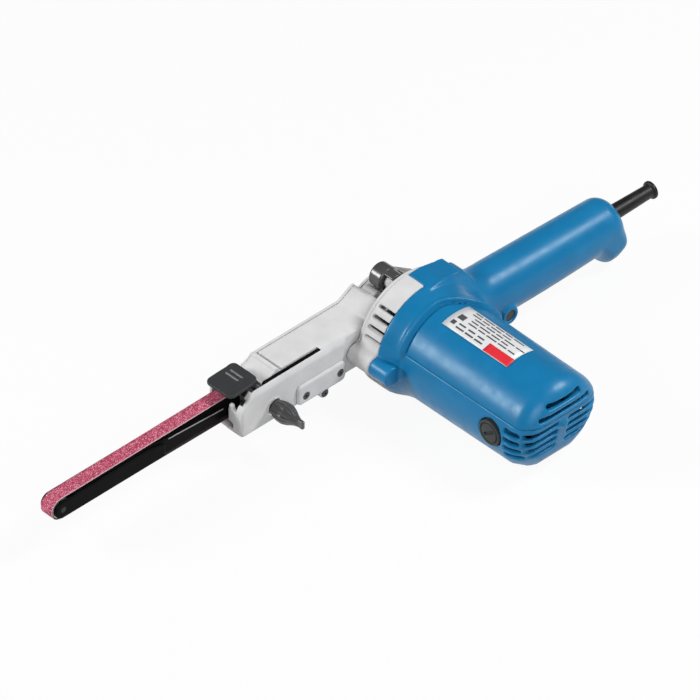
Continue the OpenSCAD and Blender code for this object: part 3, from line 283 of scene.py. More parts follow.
SHAFT_END = (AXIS, 4, 128, 138)
BRUSH_Y = 117.4
BRUSH_SEAT_R = 10.5
BRUSH_SEAT_X = 20
CAP_HOLE_R = 8.35
CAP_HOLE_X = 19
CAP_R = 8
CAP_X = (26.3, 31.4)
CAP_RING_R = 6.2
CAP_RING_FLOOR = 30.6
CAP_SLOT = (4.6, 0.9)
CAP_SLOT_FLOOR = 30.2
CAP_TURN = math.radians(35)
LOUVRE_ROWS = (7, 1.5, -4, -9.5)
LOUVRE_H = 3.3
LOUVRE_EDGE = 1.2
LOUVRE_END_X = (3.5, 28.4)
LOUVRE_END_Y = 138.3
LOUVRE_SIDE_X = 22
LOUVRE_SIDE_Y = (127, 137.4)
COVER_LOUVRES = ((22, 12.5), (16, 18.5))
COVER_LOUVRE_Y = 128
POST = (19, 128.7)
POST_R = 3.6
POST_FLOOR = -14
POST_SCREW_R = 1.9
POST_HEAD_R = 3.4

# Handle; GRIP_HALF, GRIP_TOP and GRIP_LOW hold a size at the root and its loss to the end
HANDLE_Y = 29
HANDLE_END = -148
HANDLE_ROOT = -40
GRIP_INNER = -20
GRIP_HALF = (15.5, 1.25)
GRIP_TOP = (16.7, 3.4)
GRIP_LOW = (16.9, 1)
GRIP_BELLY = 5.6
GRIP_WALL = 3.4
GRIP_ROUND = (3.5, 4.5)
GRIP_ROUND_Z = (-16, 0)
GRIP_LEAN = 2.6
GRIP_LEAN_Z = (-14, 12)
HOOK_DROP = 9.4
HOOK_X = (126, 136.5)
HOOK_LIFT = 3
HOOK_TIP_X = (139, 148)
HOLLOW_FLOOR = -12.6
LID_X = (-124, -59)
LID_HALF = 11
LID_TOP = HOLLOW_FLOOR + 0.6
LID_SEAT = HOLLOW_FLOOR - 2.4
LID_SCREWS = (-119, -63.5)
KEY_HOLE = ((-101.3, 23.7), (-69.7, 34.3))
KEY_X = (-101, -70)
KEY_HALF = 5
KEY_MID = -16.5
KEY_TOP = -11
KEY_LIP = ((-103, 24, -11.7), (-68, 34, -10.5))
BUTTON = (-54, -9.6)
BUTTON_BOSS = (BUTTON, 5.8, HANDLE_Y, 46.1)
BUTTON_SLEEVE = (BUTTON, 5.8, 28.8, 46.1)
BUTTON_HOLE = (BUTTON, 3.5, 30.1, FAR)
BUTTON_ROOM = (BUTTON, 4.4, 30.1, 38)
GUARD_TIP = -177.8
GUARD_ROOT = -141.7
GUARD_R = 4
GUARD_FLARE = 0.02
GUARD_RIM_R = 5.4
GUARD_RIM_T = 2.2
GUARD_COLLAR_R = 7.3
GUARD_COLLAR_T = 3
GUARD_BORE = ((HANDLE_Y, 0), 3.4, -3 * FAR, 0)
GUARD_HOLE = ((HANDLE_Y, 0), 4.95, HANDLE_END - 12, HANDLE_END + 8)

# Broken edges of the carried-over nodes
WELD = 1e-6
EDGE_W = 0.15
EDGE_ANGLE = math.radians(40)


def to_row(points):
    """Millimetres in the drawing frame to metres in the row frame."""
    return (np.asarray(points, float) + (0, -REST_Y, BASE)) * MM


# Distance fields sampled on a grid

class Grid:
    """A box of sample points in millimetres."""

    def __init__(self, lo, hi, step):
        self.step = step
        self.lo = np.array(lo, float) - 2 * step
        count = np.ceil((np.array(hi, float) + 2 * step - self.lo) / step).astype(int) + 1
        axes = [(self.lo[i] + step * np.arange(count[i])).astype(np.float32) for i in range(3)]
        self.x, self.y, self.z = np.meshgrid(*axes, indexing="ij", sparse=True)


def ease(lo, hi, v):
    """A smooth step from 0 at lo to 1 at hi."""
    t = np.clip((v - lo) / (hi - lo), 0, 1)
    return t * t * (3 - 2 * t)


def both(a, b, edge=0):
    """Where both forms are, with their shared edge rounded."""
    if np.isscalar(edge) and edge <= 0:
        return np.maximum(a, b)
    a = a + edge
    b = b + edge
    return np.minimum(np.maximum(a, b), 0) + np.hypot(np.maximum(a, 0), np.maximum(b, 0)) - edge


def join(a, b, fillet=0):
    """Either form, with a fillet where they meet."""
    if fillet <= 0:
        return np.minimum(a, b)
    h = np.clip(0.5 + 0.5 * (b - a) / fillet, 0, 1)
    return b + (a - b) * h - fillet * h * (1 - h)


def cut(a, b, edge=0):
    """Form a without form b."""
    return both(a, -b, edge)


def slab(v, lo, hi):
    """Negative between two places along one axis."""
    return np.abs(v - (lo + hi) / 2) - (hi - lo) / 2


def box(g, lo, hi, edge=0):
    """A box between two corners."""
    q = [slab(v, lo[i], hi[i]) + edge for i, v in enumerate((g.x, g.y, g.z))]
    inner = np.minimum(np.maximum(np.maximum(q[0], q[1]), q[2]), 0)
    outer = np.sqrt(sum(np.maximum(v, 0) ** 2 for v in q))
    return inner + outer - edge


def tube(g, axis, centre, r, lo, hi, edge=0):
    """A cylinder along one axis, between two places on it."""
    along, a, b = {"x": (g.x, g.y, g.z), "y": (g.y, g.x, g.z), "z": (g.z, g.x, g.y)}[axis]
    return both(np.hypot(a - centre[0], b - centre[1]) - r, slab(along, lo, hi), edge)


def wedge(x, z, points):
    """A convex outline in X and Z, its corners in clockwise order."""
    d = -NOWHERE
    for (x0, z0), (x1, z1) in zip(points, points[1:] + points[:1]):
        run = math.hypot(x1 - x0, z1 - z0)
        d = np.maximum(d, ((z0 - z1) * (x - x0) + (x1 - x0) * (z - z0)) / run)
    return d


def turned(a, b, angle):
    """Two coordinates along axes that are turned by an angle."""
    c = math.cos(angle)
    s = math.sin(angle)
    return a * c + b * s, b * c - a * s


def sample(field, p):
    """Field values between the grid's samples."""
    i = np.clip(np.floor(p).astype(int), 0, np.array(field.shape) - 2)
    t = p - i
    total = 0
    for c in np.ndindex(2, 2, 2):
        w = np.prod(np.where(np.array(c) == 1, t, 1 - t), axis=1)
        total = total + w * field[tuple((i + c).T)]
    return total


def settle(field, p, rounds=2, reach=0.5, most=0.6, least=1e-6):
    """Moves points onto the field's zero level, by at most a share of a grid step each round."""
    axes = np.eye(3) * reach
    for _ in range(rounds):
        slope = np.stack([sample(field, p + a) - sample(field, p - a) for a in axes], axis=1)
        scale = np.maximum((slope ** 2).sum(axis=1), least)
        move = -sample(field, p)[:, None] * slope / scale[:, None]
        p = p + np.clip(move, -most, most)
    return p


def surface(field):
    """Vertices, in grid steps, and quads of the field's zero level."""
    unit = np.eye(3, dtype=int)
    inside = field < 0
    shape = np.array(field.shape) - 1
    corners = list(np.ndindex(2, 2, 2))
    count = np.zeros(shape, np.int8)
    for c in corners:
        count += inside[tuple(slice(c[i], shape[i] + c[i]) for i in range(3))]
    mixed = (count > 0) & (count < 8)
    cells = np.argwhere(mixed)
    number = np.full(shape, -1, np.int64)
    number[mixed] = np.arange(len(cells))
    total = np.zeros((len(cells), 3))
    hits = np.zeros(len(cells))
    for c in corners:
        for axis in range(3):
            if c[axis]:
                continue
            a = cells + c
            fa = field[tuple(a.T)]
            fb = field[tuple((a + unit[axis]).T)]
            crosses = (fa < 0) != (fb < 0)
            t = fa[crosses] / (fa[crosses] - fb[crosses])
            total[crosses] += a[crosses]
            total[crosses, axis] += t
            hits[crosses] += 1
    points = total / hits[:, None]
    quads = []
    for axis in range(3):
        u = unit[(axis + 1) % 3]
        v = unit[(axis + 2) % 3]
        low = inside[tuple(slice(0, -1) if i == axis else slice(1, -1) for i in range(3))]
        high = inside[tuple(slice(1, None) if i == axis else slice(1, -1) for i in range(3))]
        for change, turned in ((low & ~high, False), (~low & high, True)):
            e = np.argwhere(change) + 1 - unit[axis]
            ring = [e - u - v, e - v, e, e - u]
            quad = np.stack([number[tuple(c.T)] for c in ring], axis=1)
            quads.append(quad[:, ::-1] if turned else quad)
    return settle(field, points), np.concatenate(quads)


def new_object(name, data):
    """An object in the scene for some data."""
    obj = bpy.data.objects.new(name, data)
    bpy.context.collection.objects.link(obj)
    return obj


def mesh_object(name, points, faces):
    """A smooth-shaded mesh object from row-frame points and equal-sized faces."""
    mesh = bpy.data.meshes.new(name)
    sides = faces.shape[1]
    mesh.vertices.add(len(points))
    mesh.vertices.foreach_set("co", np.asarray(points, np.float32).ravel())
    mesh.loops.add(faces.size)
    mesh.loops.foreach_set("vertex_index", faces.astype(np.int32).ravel())
    mesh.polygons.add(len(faces))
    mesh.polygons.foreach_set("loop_start", np.arange(0, faces.size, sides, dtype=np.int32))
    mesh.polygons.foreach_set("use_smooth", np.ones(len(faces), bool))
    mesh.update(calc_edges=True)
    mesh.validate()
    return new_object(name, mesh)


def piece(obj, body, slot, *stands_for, look=None):
    """Gives a new object its look and its body, and hides the CAD nodes that it stands for."""
    obj.data.materials.append(LOOKS[look or slot])
    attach(obj, body)
    if stands_for:
        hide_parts(*stands_for)


def shell(name, g, field, body, slot, *stands_for, look=None):
    """A piece whose surface is the zero level of a field."""
    points, faces = surface(np.ascontiguousarray(field, dtype=np.float32))
    obj = mesh_object(name, to_row(g.lo + g.step * points), faces)
    piece(obj, body, slot, *stands_for, look=look)


# Materials

LOOKS = {}
# Length at which a wave texture repeats when its scale is 1
WAVE_PERIOD = 0.314


def fill(node, values):
    """Sets a node's inputs by their names."""
    for name, value in values.items():
        node.inputs[name].default_value = value


class Paint:
    """A principled material whose colour, roughness and bump come from noise at real scales."""

    def __init__(self, name, colour, roughness, metallic=0, specular=0.5, tint=(1, 1, 1)):
        material = bpy.data.materials.new(name)
        LOOKS[name] = material
        material.use_nodes = True
        self.node = material.node_tree.nodes.new
        self.link = material.node_tree.links.new
        self.shader = material.node_tree.nodes["Principled BSDF"]
        self.colour = colour
        fill(self.shader, {
            "Base Color": (*colour, 1), "Roughness": roughness, "Metallic": metallic,
            "Specular IOR Level": specular, "Specular Tint": (*tint, 1)})
        self.place = self.node("ShaderNodeTexCoord").outputs["Object"]
        self.height = None

    def noise(self, size_mm, detail=3, stretch=(1, 1, 1)):
        """Noise whose features are about that many millimetres across."""
        mapping = self.node("ShaderNodeMapping")
        fill(mapping, {"Scale": stretch})
        self.link(self.place, mapping.inputs["Vector"])
        made = self.node("ShaderNodeTexNoise")
        fill(made, {"Scale": 1 / (size_mm * MM), "Detail": detail})
        self.link(mapping.outputs["Vector"], made.inputs["Vector"])
        return made.outputs["Fac"]

    def wave(self, axis, pitch_mm, distortion=0):
        """Bands across one axis, that many millimetres apart."""
        made = self.node("ShaderNodeTexWave")
        made.bands_direction = axis
        fill(made, {"Scale": WAVE_PERIOD / (pitch_mm * MM), "Distortion": distortion})
        self.link(self.place, made.inputs["Vector"])
        return made.outputs["Fac"]

    def ramp(self, fac, stops):
        """A colour ramp; each stop is a place and a colour."""
        made = self.node("ShaderNodeValToRGB")
        marks = made.color_ramp.elements
        while len(marks) < len(stops):
            marks.new(0.5)
        for mark, (at, colour) in zip(marks, stops):
            mark.position = at
            mark.color = (*colour, 1)
        self.link(fac, made.inputs["Fac"])
        return made.outputs["Color"]

    def spread(self, fac, amount):
        """Varies the base colour by noise, darker and lighter than the plain one."""
        dark = tuple(c * (1 - amount) for c in self.colour)
        light = tuple(min(1, c * (1 + amount) + amount * 0.02) for c in self.colour)
        self.link(self.ramp(fac, [(0.3, dark), (0.5, self.colour), (0.7, light)]),
                  self.shader.inputs["Base Color"])

    def gloss(self, fac, lo, hi):
        """Varies the roughness between two values."""
        made = self.node("ShaderNodeMapRange")
        fill(made, {"From Min": 0.3, "From Max": 0.7, "To Min": lo, "To Max": hi})
        self.link(fac, made.inputs["Value"])
        self.link(made.outputs["Result"], self.shader.inputs["Roughness"])

    def bump(self, fac, strength, depth_mm):
        """Adds relief; later calls lie on top of earlier ones."""
        made = self.node("ShaderNodeBump")
        fill(made, {"Strength": strength, "Distance": depth_mm * MM})
        self.link(fac, made.inputs["Height"])
        if self.height:
            self.link(self.height, made.inputs["Normal"])
        self.height = made.outputs["Normal"]
        self.link(self.height, self.shader.inputs["Normal"])


def moulded(name, colour, roughness, spread=0.06, grain_mm=0.5, depth_mm=0.03, **shine):
    """Moulded plastic or rubber with a fine spark-eroded grain."""
    p = Paint(name, colour, roughness, **shine)
    p.spread(p.noise(14, 4), spread)
    p.gloss(p.noise(6, 5), roughness - 0.06, roughness + 0.08)
    p.bump(p.noise(grain_mm, 2), 0.35, depth_mm)


def painted(name, colour, roughness, peel_mm=1.4, **shine):
    """Sprayed paint on metal: orange peel, tiny flakes and slight stains."""
    p = Paint(name, colour, roughness, **shine)
    p.spread(p.noise(9, 6), 0.05)
    p.gloss(p.noise(4, 5), roughness - 0.05, roughness + 0.1)
    p.bump(p.noise(peel_mm, 2), 0.25, 0.03)
    p.bump(p.noise(0.25, 1), 0.15, 0.01)


def steel(name, colour, roughness, along=(1, 1, 1)):
    """Bare metal with fine tool marks that run across the stretched axis."""
    p = Paint(name, colour, roughness, metallic=1)
    p.spread(p.noise(5, 4), 0.1)
    p.gloss(p.noise(0.6, 4, along), roughness - 0.08, roughness + 0.12)
    p.bump(p.noise(0.4, 3, along), 0.2, 0.02)


def banded(name, colour, roughness, pitch_mm, metallic):
    """Stacked sheets or wound wire: fine bands across Y."""
    p = Paint(name, colour, roughness, metallic)
    p.spread(p.noise(3, 4), 0.18)
    p.bump(p.wave("Y", pitch_mm, 0.4), 0.6, 0.12)


def grit(name):
    """Coated abrasive: red resin with pale and dark grains."""
    p = Paint(name, (0.45, 0.035, 0.095), 0.75)
    cells = p.node("ShaderNodeTexVoronoi")
    fill(cells, {"Scale": 1 / (0.42 * MM)})
    p.link(p.place, cells.inputs["Vector"])
    tint = p.ramp(cells.outputs["Color"], [
        (0.12, (0.14, 0.008, 0.026)), (0.4, (0.36, 0.027, 0.078)),
        (0.66, (0.46, 0.06, 0.125)), (0.86, (0.76, 0.36, 0.45))])
    p.link(tint, p.shader.inputs["Base Color"])
    p.bump(p.noise(0.5, 3), 0.7, 0.15)
    p.bump(cells.outputs["Distance"], 0.6, 0.2)


def cloth(name, colour):
    """Woven backing of the belt."""
    p = Paint(name, colour, 0.85)
    p.spread(p.noise(1.2, 4), 0.15)
    for axis in "XY":
        p.bump(p.wave(axis, 0.5), 0.4, 0.05)


# A piece takes the look named as its slot, unless it names another
moulded("blue_plastic", (0.005, 0.15, 0.33), 0.34, spread=0.05, depth_mm=0.015, specular=0.3,
        tint=(0.8, 0.95, 1))
painted("silver_casting", (0.56, 0.56, 0.56), 0.6, specular=0.2)
painted("silver_plate", (0.55, 0.55, 0.555), 0.58, specular=0.2)
painted("arm_black", (0.004, 0.004, 0.0045), 0.3, specular=0.025)
# Pale paint for the strip on the arm's upper edge: a painted highlight
painted("arm_edge_glint", (0.24, 0.24, 0.23), 0.4)
painted("axle_dark", (0.016, 0.018, 0.018), 0.4, specular=0.2)
painted("lever_dark", (0.03, 0.031, 0.033), 0.5, peel_mm=0.8, specular=0.25)
# A paler grey for the paddle's ribs: a painted highlight
painted("lever_rib_glint", (0.13, 0.13, 0.135), 0.4, peel_mm=0.8)
moulded("knob_black", (0.045, 0.045, 0.047), 0.27, spread=0.2, specular=0.7)
moulded("cap_plastic", (0.032, 0.036, 0.036), 0.5, spread=0.15, specular=0.25)
moulded("guard_rubber", (0.007, 0.007, 0.0075), 0.42, spread=0.2, grain_mm=0.9, specular=0.3)
moulded("trigger_black", (0.014, 0.014, 0.015), 0.42, spread=0.2)
moulded("switch_plastic", (0.02, 0.02, 0.022), 0.5, spread=0.2)
moulded("carbon", (0.02, 0.02, 0.02), 0.6, spread=0.3)
moulded("pulley_rubber", (0.02, 0.02, 0.02), 0.7, spread=0.25)
steel("ground_steel", (0.55, 0.56, 0.58), 0.3, (1, 0.1, 1))
steel("bearing_steel", (0.62, 0.63, 0.65), 0.25, (0.2, 1, 0.2))
steel("spring_steel", (0.55, 0.56, 0.58), 0.32)
steel("dark_screws", (0.07, 0.07, 0.075), 0.4)
steel("washer_steel", (0.78, 0.78, 0.79), 0.35)
steel("shoe_steel", (0.25, 0.26, 0.27), 0.42, (0.1, 1, 1))
steel("roller_steel", (0.4, 0.41, 0.43), 0.35, (1, 0.1, 1))
steel("brass", (0.62, 0.45, 0.18), 0.35)
banded("lamination_steel", (0.28, 0.29, 0.3), 0.5, 0.5, 0.8)
banded("copper_winding", (0.42, 0.14, 0.05), 0.38, 0.6, 0.7)
steel("commutator_copper", (0.6, 0.28, 0.14), 0.3, (1, 0.1, 1))
grit("abrasive")
# Woven texture on a near-black cloth for the belt's inside and lower edges: the darkness is painted
# shade
cloth("belt_cloth_shade", (0.014, 0.008, 0.008))
# Pale cloth for the belt's upper edges only: a painted highlight
cloth("belt_edge_highlight", (0.6, 0.34, 0.38))
moulded("label_face", (0.62, 0.63, 0.64), 0.4, spread=0.03)
moulded("label_red", (0.62, 0.02, 0.03), 0.4, spread=0.06)
moulded("label_ink", (0.06, 0.06, 0.07), 0.5, spread=0.1)


# Nodes with a look other than their slot's
BLACKENED = {"nose_axle": "axle_dark", "arm_screws": "dark_screws"}


def dress_nodes():
    """Gives every CAD node its procedural material and softly broken edges."""
    for part in frame["record"]["subparts"]:
        obj = nodes[part["node"]]
        look = LOOKS[BLACKENED.get(part["node"], part["material_slot"])]
        for place in obj.material_slots:
            place.material = look
        weld = obj.modifiers.new("weld", "WELD")
        weld.merge_threshold = WELD
        soft = obj.modifiers.new("edge", "BEVEL")
        soft.width = EDGE_W * MM
        soft.segments = 2
        soft.limit_method = "ANGLE"
        soft.angle_limit = EDGE_ANGLE
        seal = obj.modifiers.new("seal", "WELD")
        seal.merge_threshold = WELD


# Motor housing

def cover_front(g):
    """How far a place lies before the cover's front edge, which swings round the handle's root."""
    swing = np.hypot(g.x - COVER_SWING[0], g.y - COVER_SWING[1])
    return both(COVER_FRONT - g.y, COVER_SWING_R - swing, edge=8)


def motor_form(g, inset):
    """The motor body: a drum behind a raised collar, flat below, with a leaning end."""
    crisp = ease(*COLLAR_CRISP_Z, g.z)
    before = cover_front(g)
    step = crisp * ease(*COLLAR_EDGE, before) + (1 - crisp) * (1 - ease(*COLLAR_FADE_Y, g.y))
    bead = BEAD_H * crisp * np.exp(-((before - BEAD_AT) / BEAD_W) ** 2)
    collar = COLLAR_H * step + COLLAR_H * (1 - ease(*COLLAR_FLARE_Y, g.y)) + bead
    side = np.hypot(g.x, g.z) - (MOTOR_R - MOTOR_TAPER * ease(*MOTOR_TAPER_Y, g.y) + collar - inset)
    side = both(side, -g.z - BASE + inset, edge=5)
    lean = (g.y - END) * math.cos(LEAN) - (g.z - SEAM) * math.sin(LEAN)
    end = both(g.y - END, lean, edge=4) + inset
    return both(side, end, END_ROUND - inset)


def grip_form(g, inset):
    """The handle: an upright rounded bar that thins to its end, with a hooked finger stop below."""
    t = np.clip((HANDLE_ROOT - g.x) / (HANDLE_ROOT - HANDLE_END), 0, 1)
    half = GRIP_HALF[0] - GRIP_HALF[1] * t * t
    top = GRIP_TOP[0] - GRIP_TOP[1] * t
    hook = HOOK_DROP * ease(*HOOK_X, -g.x) - HOOK_LIFT * ease(*HOOK_TIP_X, -g.x)
    low = GRIP_LOW[0] - GRIP_LOW[1] * t + GRIP_BELLY * t * (1 - t) + hook
    level = np.clip(g.z, half - low, top - half)
    d = np.hypot(g.y - HANDLE_Y, g.z - level) - half + inset
    round_end = GRIP_ROUND[0] + GRIP_ROUND[1] * ease(*GRIP_ROUND_Z, g.z)
    lean = GRIP_LEAN * ease(*GRIP_LEAN_Z, g.z)
    return both(d, slab(g.x, HANDLE_END + inset + lean, GRIP_INNER), round_end)


def grip_hollow(g):
    """The room inside the handle."""
    room = both(grip_form(g, GRIP_WALL), slab(g.x, HANDLE_END + SHELL, HANDLE_ROOT - 1))
    return both(room, HOLLOW_FLOOR - g.z, edge=3)


def boss(g, angle, r, lo, hi, edge=0.8):
    """A round lug along Y, at an angle round the motor axis."""
    a = math.radians(angle)
    return tube(g, "y", (BOSS_DIST * math.cos(a), BOSS_DIST * math.sin(a)), r, lo, hi, edge)


def saddle(g):
    """The half ring that hugs the rear of the silver drum."""
    ring = both(np.hypot(g.x, g.z) - DRUM_R, slab(g.y, SADDLE_FRONT, SADDLE_BACK), edge=0.9)
    return both(ring, g.x, edge=0.4)


def ear(g):
    """The flat pad on top of the saddle."""
    return both(wedge(g.x, g.z, EAR), slab(g.y, SADDLE_FRONT, EAR_BACK), edge=0.6)


def cover_space(g, shrink):
    """Negative inside the upper cover's space."""
    return both(SEAM - g.z, cover_front(g), edge=1.5) + shrink


def lid_space(g, shrink):
    """Negative inside the handle lid's space."""
    lo = (LID_X[0], HANDLE_Y - LID_HALF, -FAR)
    hi = (LID_X[1], HANDLE_Y + LID_HALF, LID_TOP)
    return box(g, lo, hi, edge=2) + shrink


def louvres(g):
    """Rows of slots in the end and round its corners."""
    d = NOWHERE
    for z in LOUVRE_ROWS:
        low, high = z - LOUVRE_H / 2, z + LOUVRE_H / 2
        for s in (-1, 1):
            lo, hi = sorted((s * LOUVRE_END_X[0], s * LOUVRE_END_X[1]))
            d = join(d, box(g, (lo, LOUVRE_END_Y, low), (hi, END + FAR, high), LOUVRE_EDGE))
            lo, hi = sorted((s * LOUVRE_SIDE_X, s * FAR))
            d = join(d, box(g, (lo, LOUVRE_SIDE_Y[0], low), (hi, LOUVRE_SIDE_Y[1], high), LOUVRE_EDGE))
    return d


def housing_form(g):
    """The outside of the motor housing with its handle and bosses."""
    d = both(motor_form(g, 0), DRUM_BACK - g.y, edge=0.5)
    d = join(d, saddle(g), fillet=1.5)
    for angle in REAR_BOSSES:
        d = join(d, boss(g, angle, REAR_BOSS_R, SADDLE_FRONT, DRUM_BACK + 1, edge=2), fillet=4)
    d = join(d, grip_form(g, 0), fillet=14)
    d = join(d, ear(g), fillet=3)
    d = join(d, boss(g, 0, BOSS_R, DRUM_BACK, BOSS_END, edge=0.7), fillet=2)
    d = join(d, tube(g, "y", *BUTTON_BOSS, edge=1), fillet=2.5)
    return join(d, tube(g, "y", *END_NUB, edge=1), fillet=1.5)


def housing_rooms(g, d):
    """Hollows the motor body and the handle, then adds the seats that stand in them."""
    d = cut(d, both(motor_form(g, SHELL), DRUM_BACK + 2 - g.y))
    d = cut(d, tube(g, "y", AXIS, DRUM_R + GAP, -FAR, SADDLE_FRONT))
    d = cut(d, tube(g, "y", AXIS, DRUM_R - SADDLE_T, -FAR, DRUM_BACK))
    d = cut(d, tube(g, "y", AXIS, DRUM_R - 2 * DRUM_WALL, -FAR, DRUM_BACK + 3))
    d = cut(d, both(g.y - DRUM_BACK - FACE_GAP, -g.x))
    d = cut(d, grip_hollow(g))
    d = join(d, tube(g, "y", *BUTTON_SLEEVE, edge=1))
    seats = tube(g, "y", *BEARING_SEAT)
    for s in (-1, 1):
        reach = sorted((s * BRUSH_SEAT_X, s * MOTOR_R))
        seats = join(seats, tube(g, "x", (BRUSH_Y, 0), BRUSH_SEAT_R, *reach))
        seats = join(seats, tube(g, "z", (s * POST[0], POST[1]), POST_R, -FAR, SEAM))
    return join(d, both(seats, motor_form(g, 1)))


def main_housing():
    g = Grid((-150, 12, -29), (44, 147, 38), 0.75)
    d = housing_rooms(g, housing_form(g))
    d = cut(d, cover_space(g, 0), edge=0.4)
    d = cut(d, lid_space(g, -GAP))
    for hole in (REAR_BEARING, SHAFT_END):
        d = cut(d, tube(g, "y", *hole))
    for s in (-1, 1):
        post = (s * POST[0], POST[1])
        d = cut(d, tube(g, "x", (BRUSH_Y, 0), CAP_HOLE_R, *sorted((s * CAP_HOLE_X, s * FAR))), edge=0.7)
        d = cut(d, tube(g, "z", post, POST_HEAD_R, -FAR, POST_FLOOR))
        d = cut(d, tube(g, "z", post, POST_SCREW_R, -FAR, FAR))
    d = cut(d, louvres(g), edge=0.5)
    d = cut(d, boss(g, 0, SCREW_R, DRUM_FRONT, DRUM_BACK + 10))
    for angle in REAR_BOSSES:
        d = cut(d, boss(g, angle, SCREW_R + GAP, DRUM_FRONT, DRUM_BACK))
        d = cut(d, boss(g, angle, SCREW_HEAD_R + GAP, DRUM_FRONT, REAR_SEAT), edge=0.3)
        d = cut(d, boss(g, angle, LUG_R + GAP, LUG_FRONT - GAP, DRUM_BACK))
    d = cut(d, tube(g, "x", *GUARD_HOLE), edge=0.6)
    d = cut(d, tube(g, "y", *BUTTON_HOLE), edge=0.5)
    d = cut(d, tube(g, "y", *BUTTON_ROOM))
    d = both(both(d, -g.z - BASE, edge=0.4), g.z - CROWN, edge=0.3)
    shell("housing_shell", g, d, "housing", "blue_plastic", "main_housing")


def motor_cover():
    g = Grid((-33, 40, 10), (33, 147, 33), 0.65)
    d = cut(motor_form(g, -FINE_GAP), motor_form(g, SHELL))
    d = both(d, cover_space(g, FINE_GAP), edge=0.5)
    for z, half in COVER_LOUVRES:
        lo = (-half, COVER_LOUVRE_Y, z - LOUVRE_H / 2)
        hi = (half, END + FAR, z + LOUVRE_H / 2)
        d = cut(d, box(g, lo, hi, edge=1.4), edge=0.5)
    shell("cover_shell", g, d, "housing", "blue_plastic", "motor_cover")


def handle_cover():
    g = Grid((-125, 17, -26), (-58, 41, -8), 0.7)
    d = both(cut(grip_form(g, 0), grip_hollow(g)), lid_space(g, 0), edge=0.4)
    d = cut(d, box(g, (*KEY_HOLE[0], -FAR), (*KEY_HOLE[1], 0), edge=1))
    for x in LID_SCREWS:
        d = cut(d, tube(g, "z", (x, HANDLE_Y), SCREW_HEAD_R, -FAR, LID_SEAT))
        d = cut(d, tube(g, "z", (x, HANDLE_Y), SCREW_R + FINE_GAP, -FAR, 0))
    shell("handle_lid", g, d, "housing", "blue_plastic", "handle_cover")


def drum_room(g, r):
    """The fan's room in the bracket."""
    room = join(r - REAR_DRUM_R + REAR_DRUM_WALL, both(r - DRUM_R + DRUM_WALL, GAP - g.x))
    room = both(room, slab(g.y, DRUM_PLATE, FAR))
    room = both(room, -g.z - BASE + DRUM_WALL, edge=1)
    for angle in (0, *REAR_BOSSES):
        room = cut(room, boss(g, angle, LUG_R, 0, FAR))
    return cut(room, tube(g, "y", *PIVOT_ROOM))


def drum_vents(g):
    """Slots whose floor falls away to their upper side."""
    d = NOWHERE
    for angle in VENT_ANGLES:
        out, across = turned(g.x, g.z, math.radians(angle))
        floor = VENT_TOP - VENT_DROP * ease(*VENT_SLOPE, across)
        slot = both(np.abs(across) - VENT_HALF, slab(g.y, VENT_FRONT, FAR), edge=1.3)
        d = join(d, both(slot, floor - out))
    return d


def clamp_slot(g, r):
    """The curved slot that the clamp bolt slides in."""
    arc = np.abs(r - SWING_R) - SWING_HALF
    swing = np.abs(np.arctan2(g.z, g.x) - SWING_MID) - SWING_REACH
    return both(both(arc, swing * SWING_R, edge=3), slab(g.y, *SWING_Y))


def front_bracket():
    g = Grid((-38, 5, -29), (45, 36, 38), 0.6)
    r = np.hypot(g.x, g.z)
    d = both(r - RIM_R, slab(g.y, DRUM_FRONT, SADDLE_FRONT - GAP), edge=1.2)
    d = join(d, both(r - REAR_DRUM_R, slab(g.y, DRUM_FRONT, DRUM_BACK)))
    half = both(r - DRUM_R, slab(g.y, SADDLE_FRONT - 0.4, DRUM_BACK), edge=0.6)
    d = join(d, both(half, GAP - g.x, edge=0.3), fillet=0.4)
    d = join(d, boss(g, 0, BOSS_R + 0.4, DRUM_FRONT, DRUM_BACK, edge=1.6), fillet=3.5)
    for angle in REAR_BOSSES:
        d = join(d, boss(g, angle, LUG_R, LUG_FRONT, DRUM_BACK))
    d = both(d, -g.z - BASE, edge=1)
    d = cut(d, drum_room(g, r))
    d = join(d, tube(g, "y", *PIVOT, edge=0.5))
    for hole in (FRONT_BEARING, PIVOT_BORE):
        d = cut(d, tube(g, "y", *hole))
    d = cut(d, clamp_slot(g, r), edge=0.3)
    d = cut(d, drum_vents(g), edge=0.4)
    d = cut(d, boss(g, 0, SCREW_R + GAP, 0, FAR))
    d = cut(d, boss(g, 0, SCREW_HEAD_R + GAP, 0, DRUM_FRONT + 3), edge=0.3)
    for angle in REAR_BOSSES:
        d = cut(d, boss(g, angle, SCREW_R, 0, FAR))
        d = cut(d, boss(g, angle, SCREW_HEAD_R + GAP, 0, LUG_FRONT - GAP))
    d = both(d, g.z - CROWN, edge=0.3)
    shell("bracket_shell", g, d, "housing", "silver_casting", "front_bracket")


# Belt head

def clamp_ear(g):
    """The upright lug that carries the clamp bolt."""
    return join(tube(g, "y", *CLAMP_EYE, edge=0.8), box(g, *CLAMP_EAR, edge=0.8))


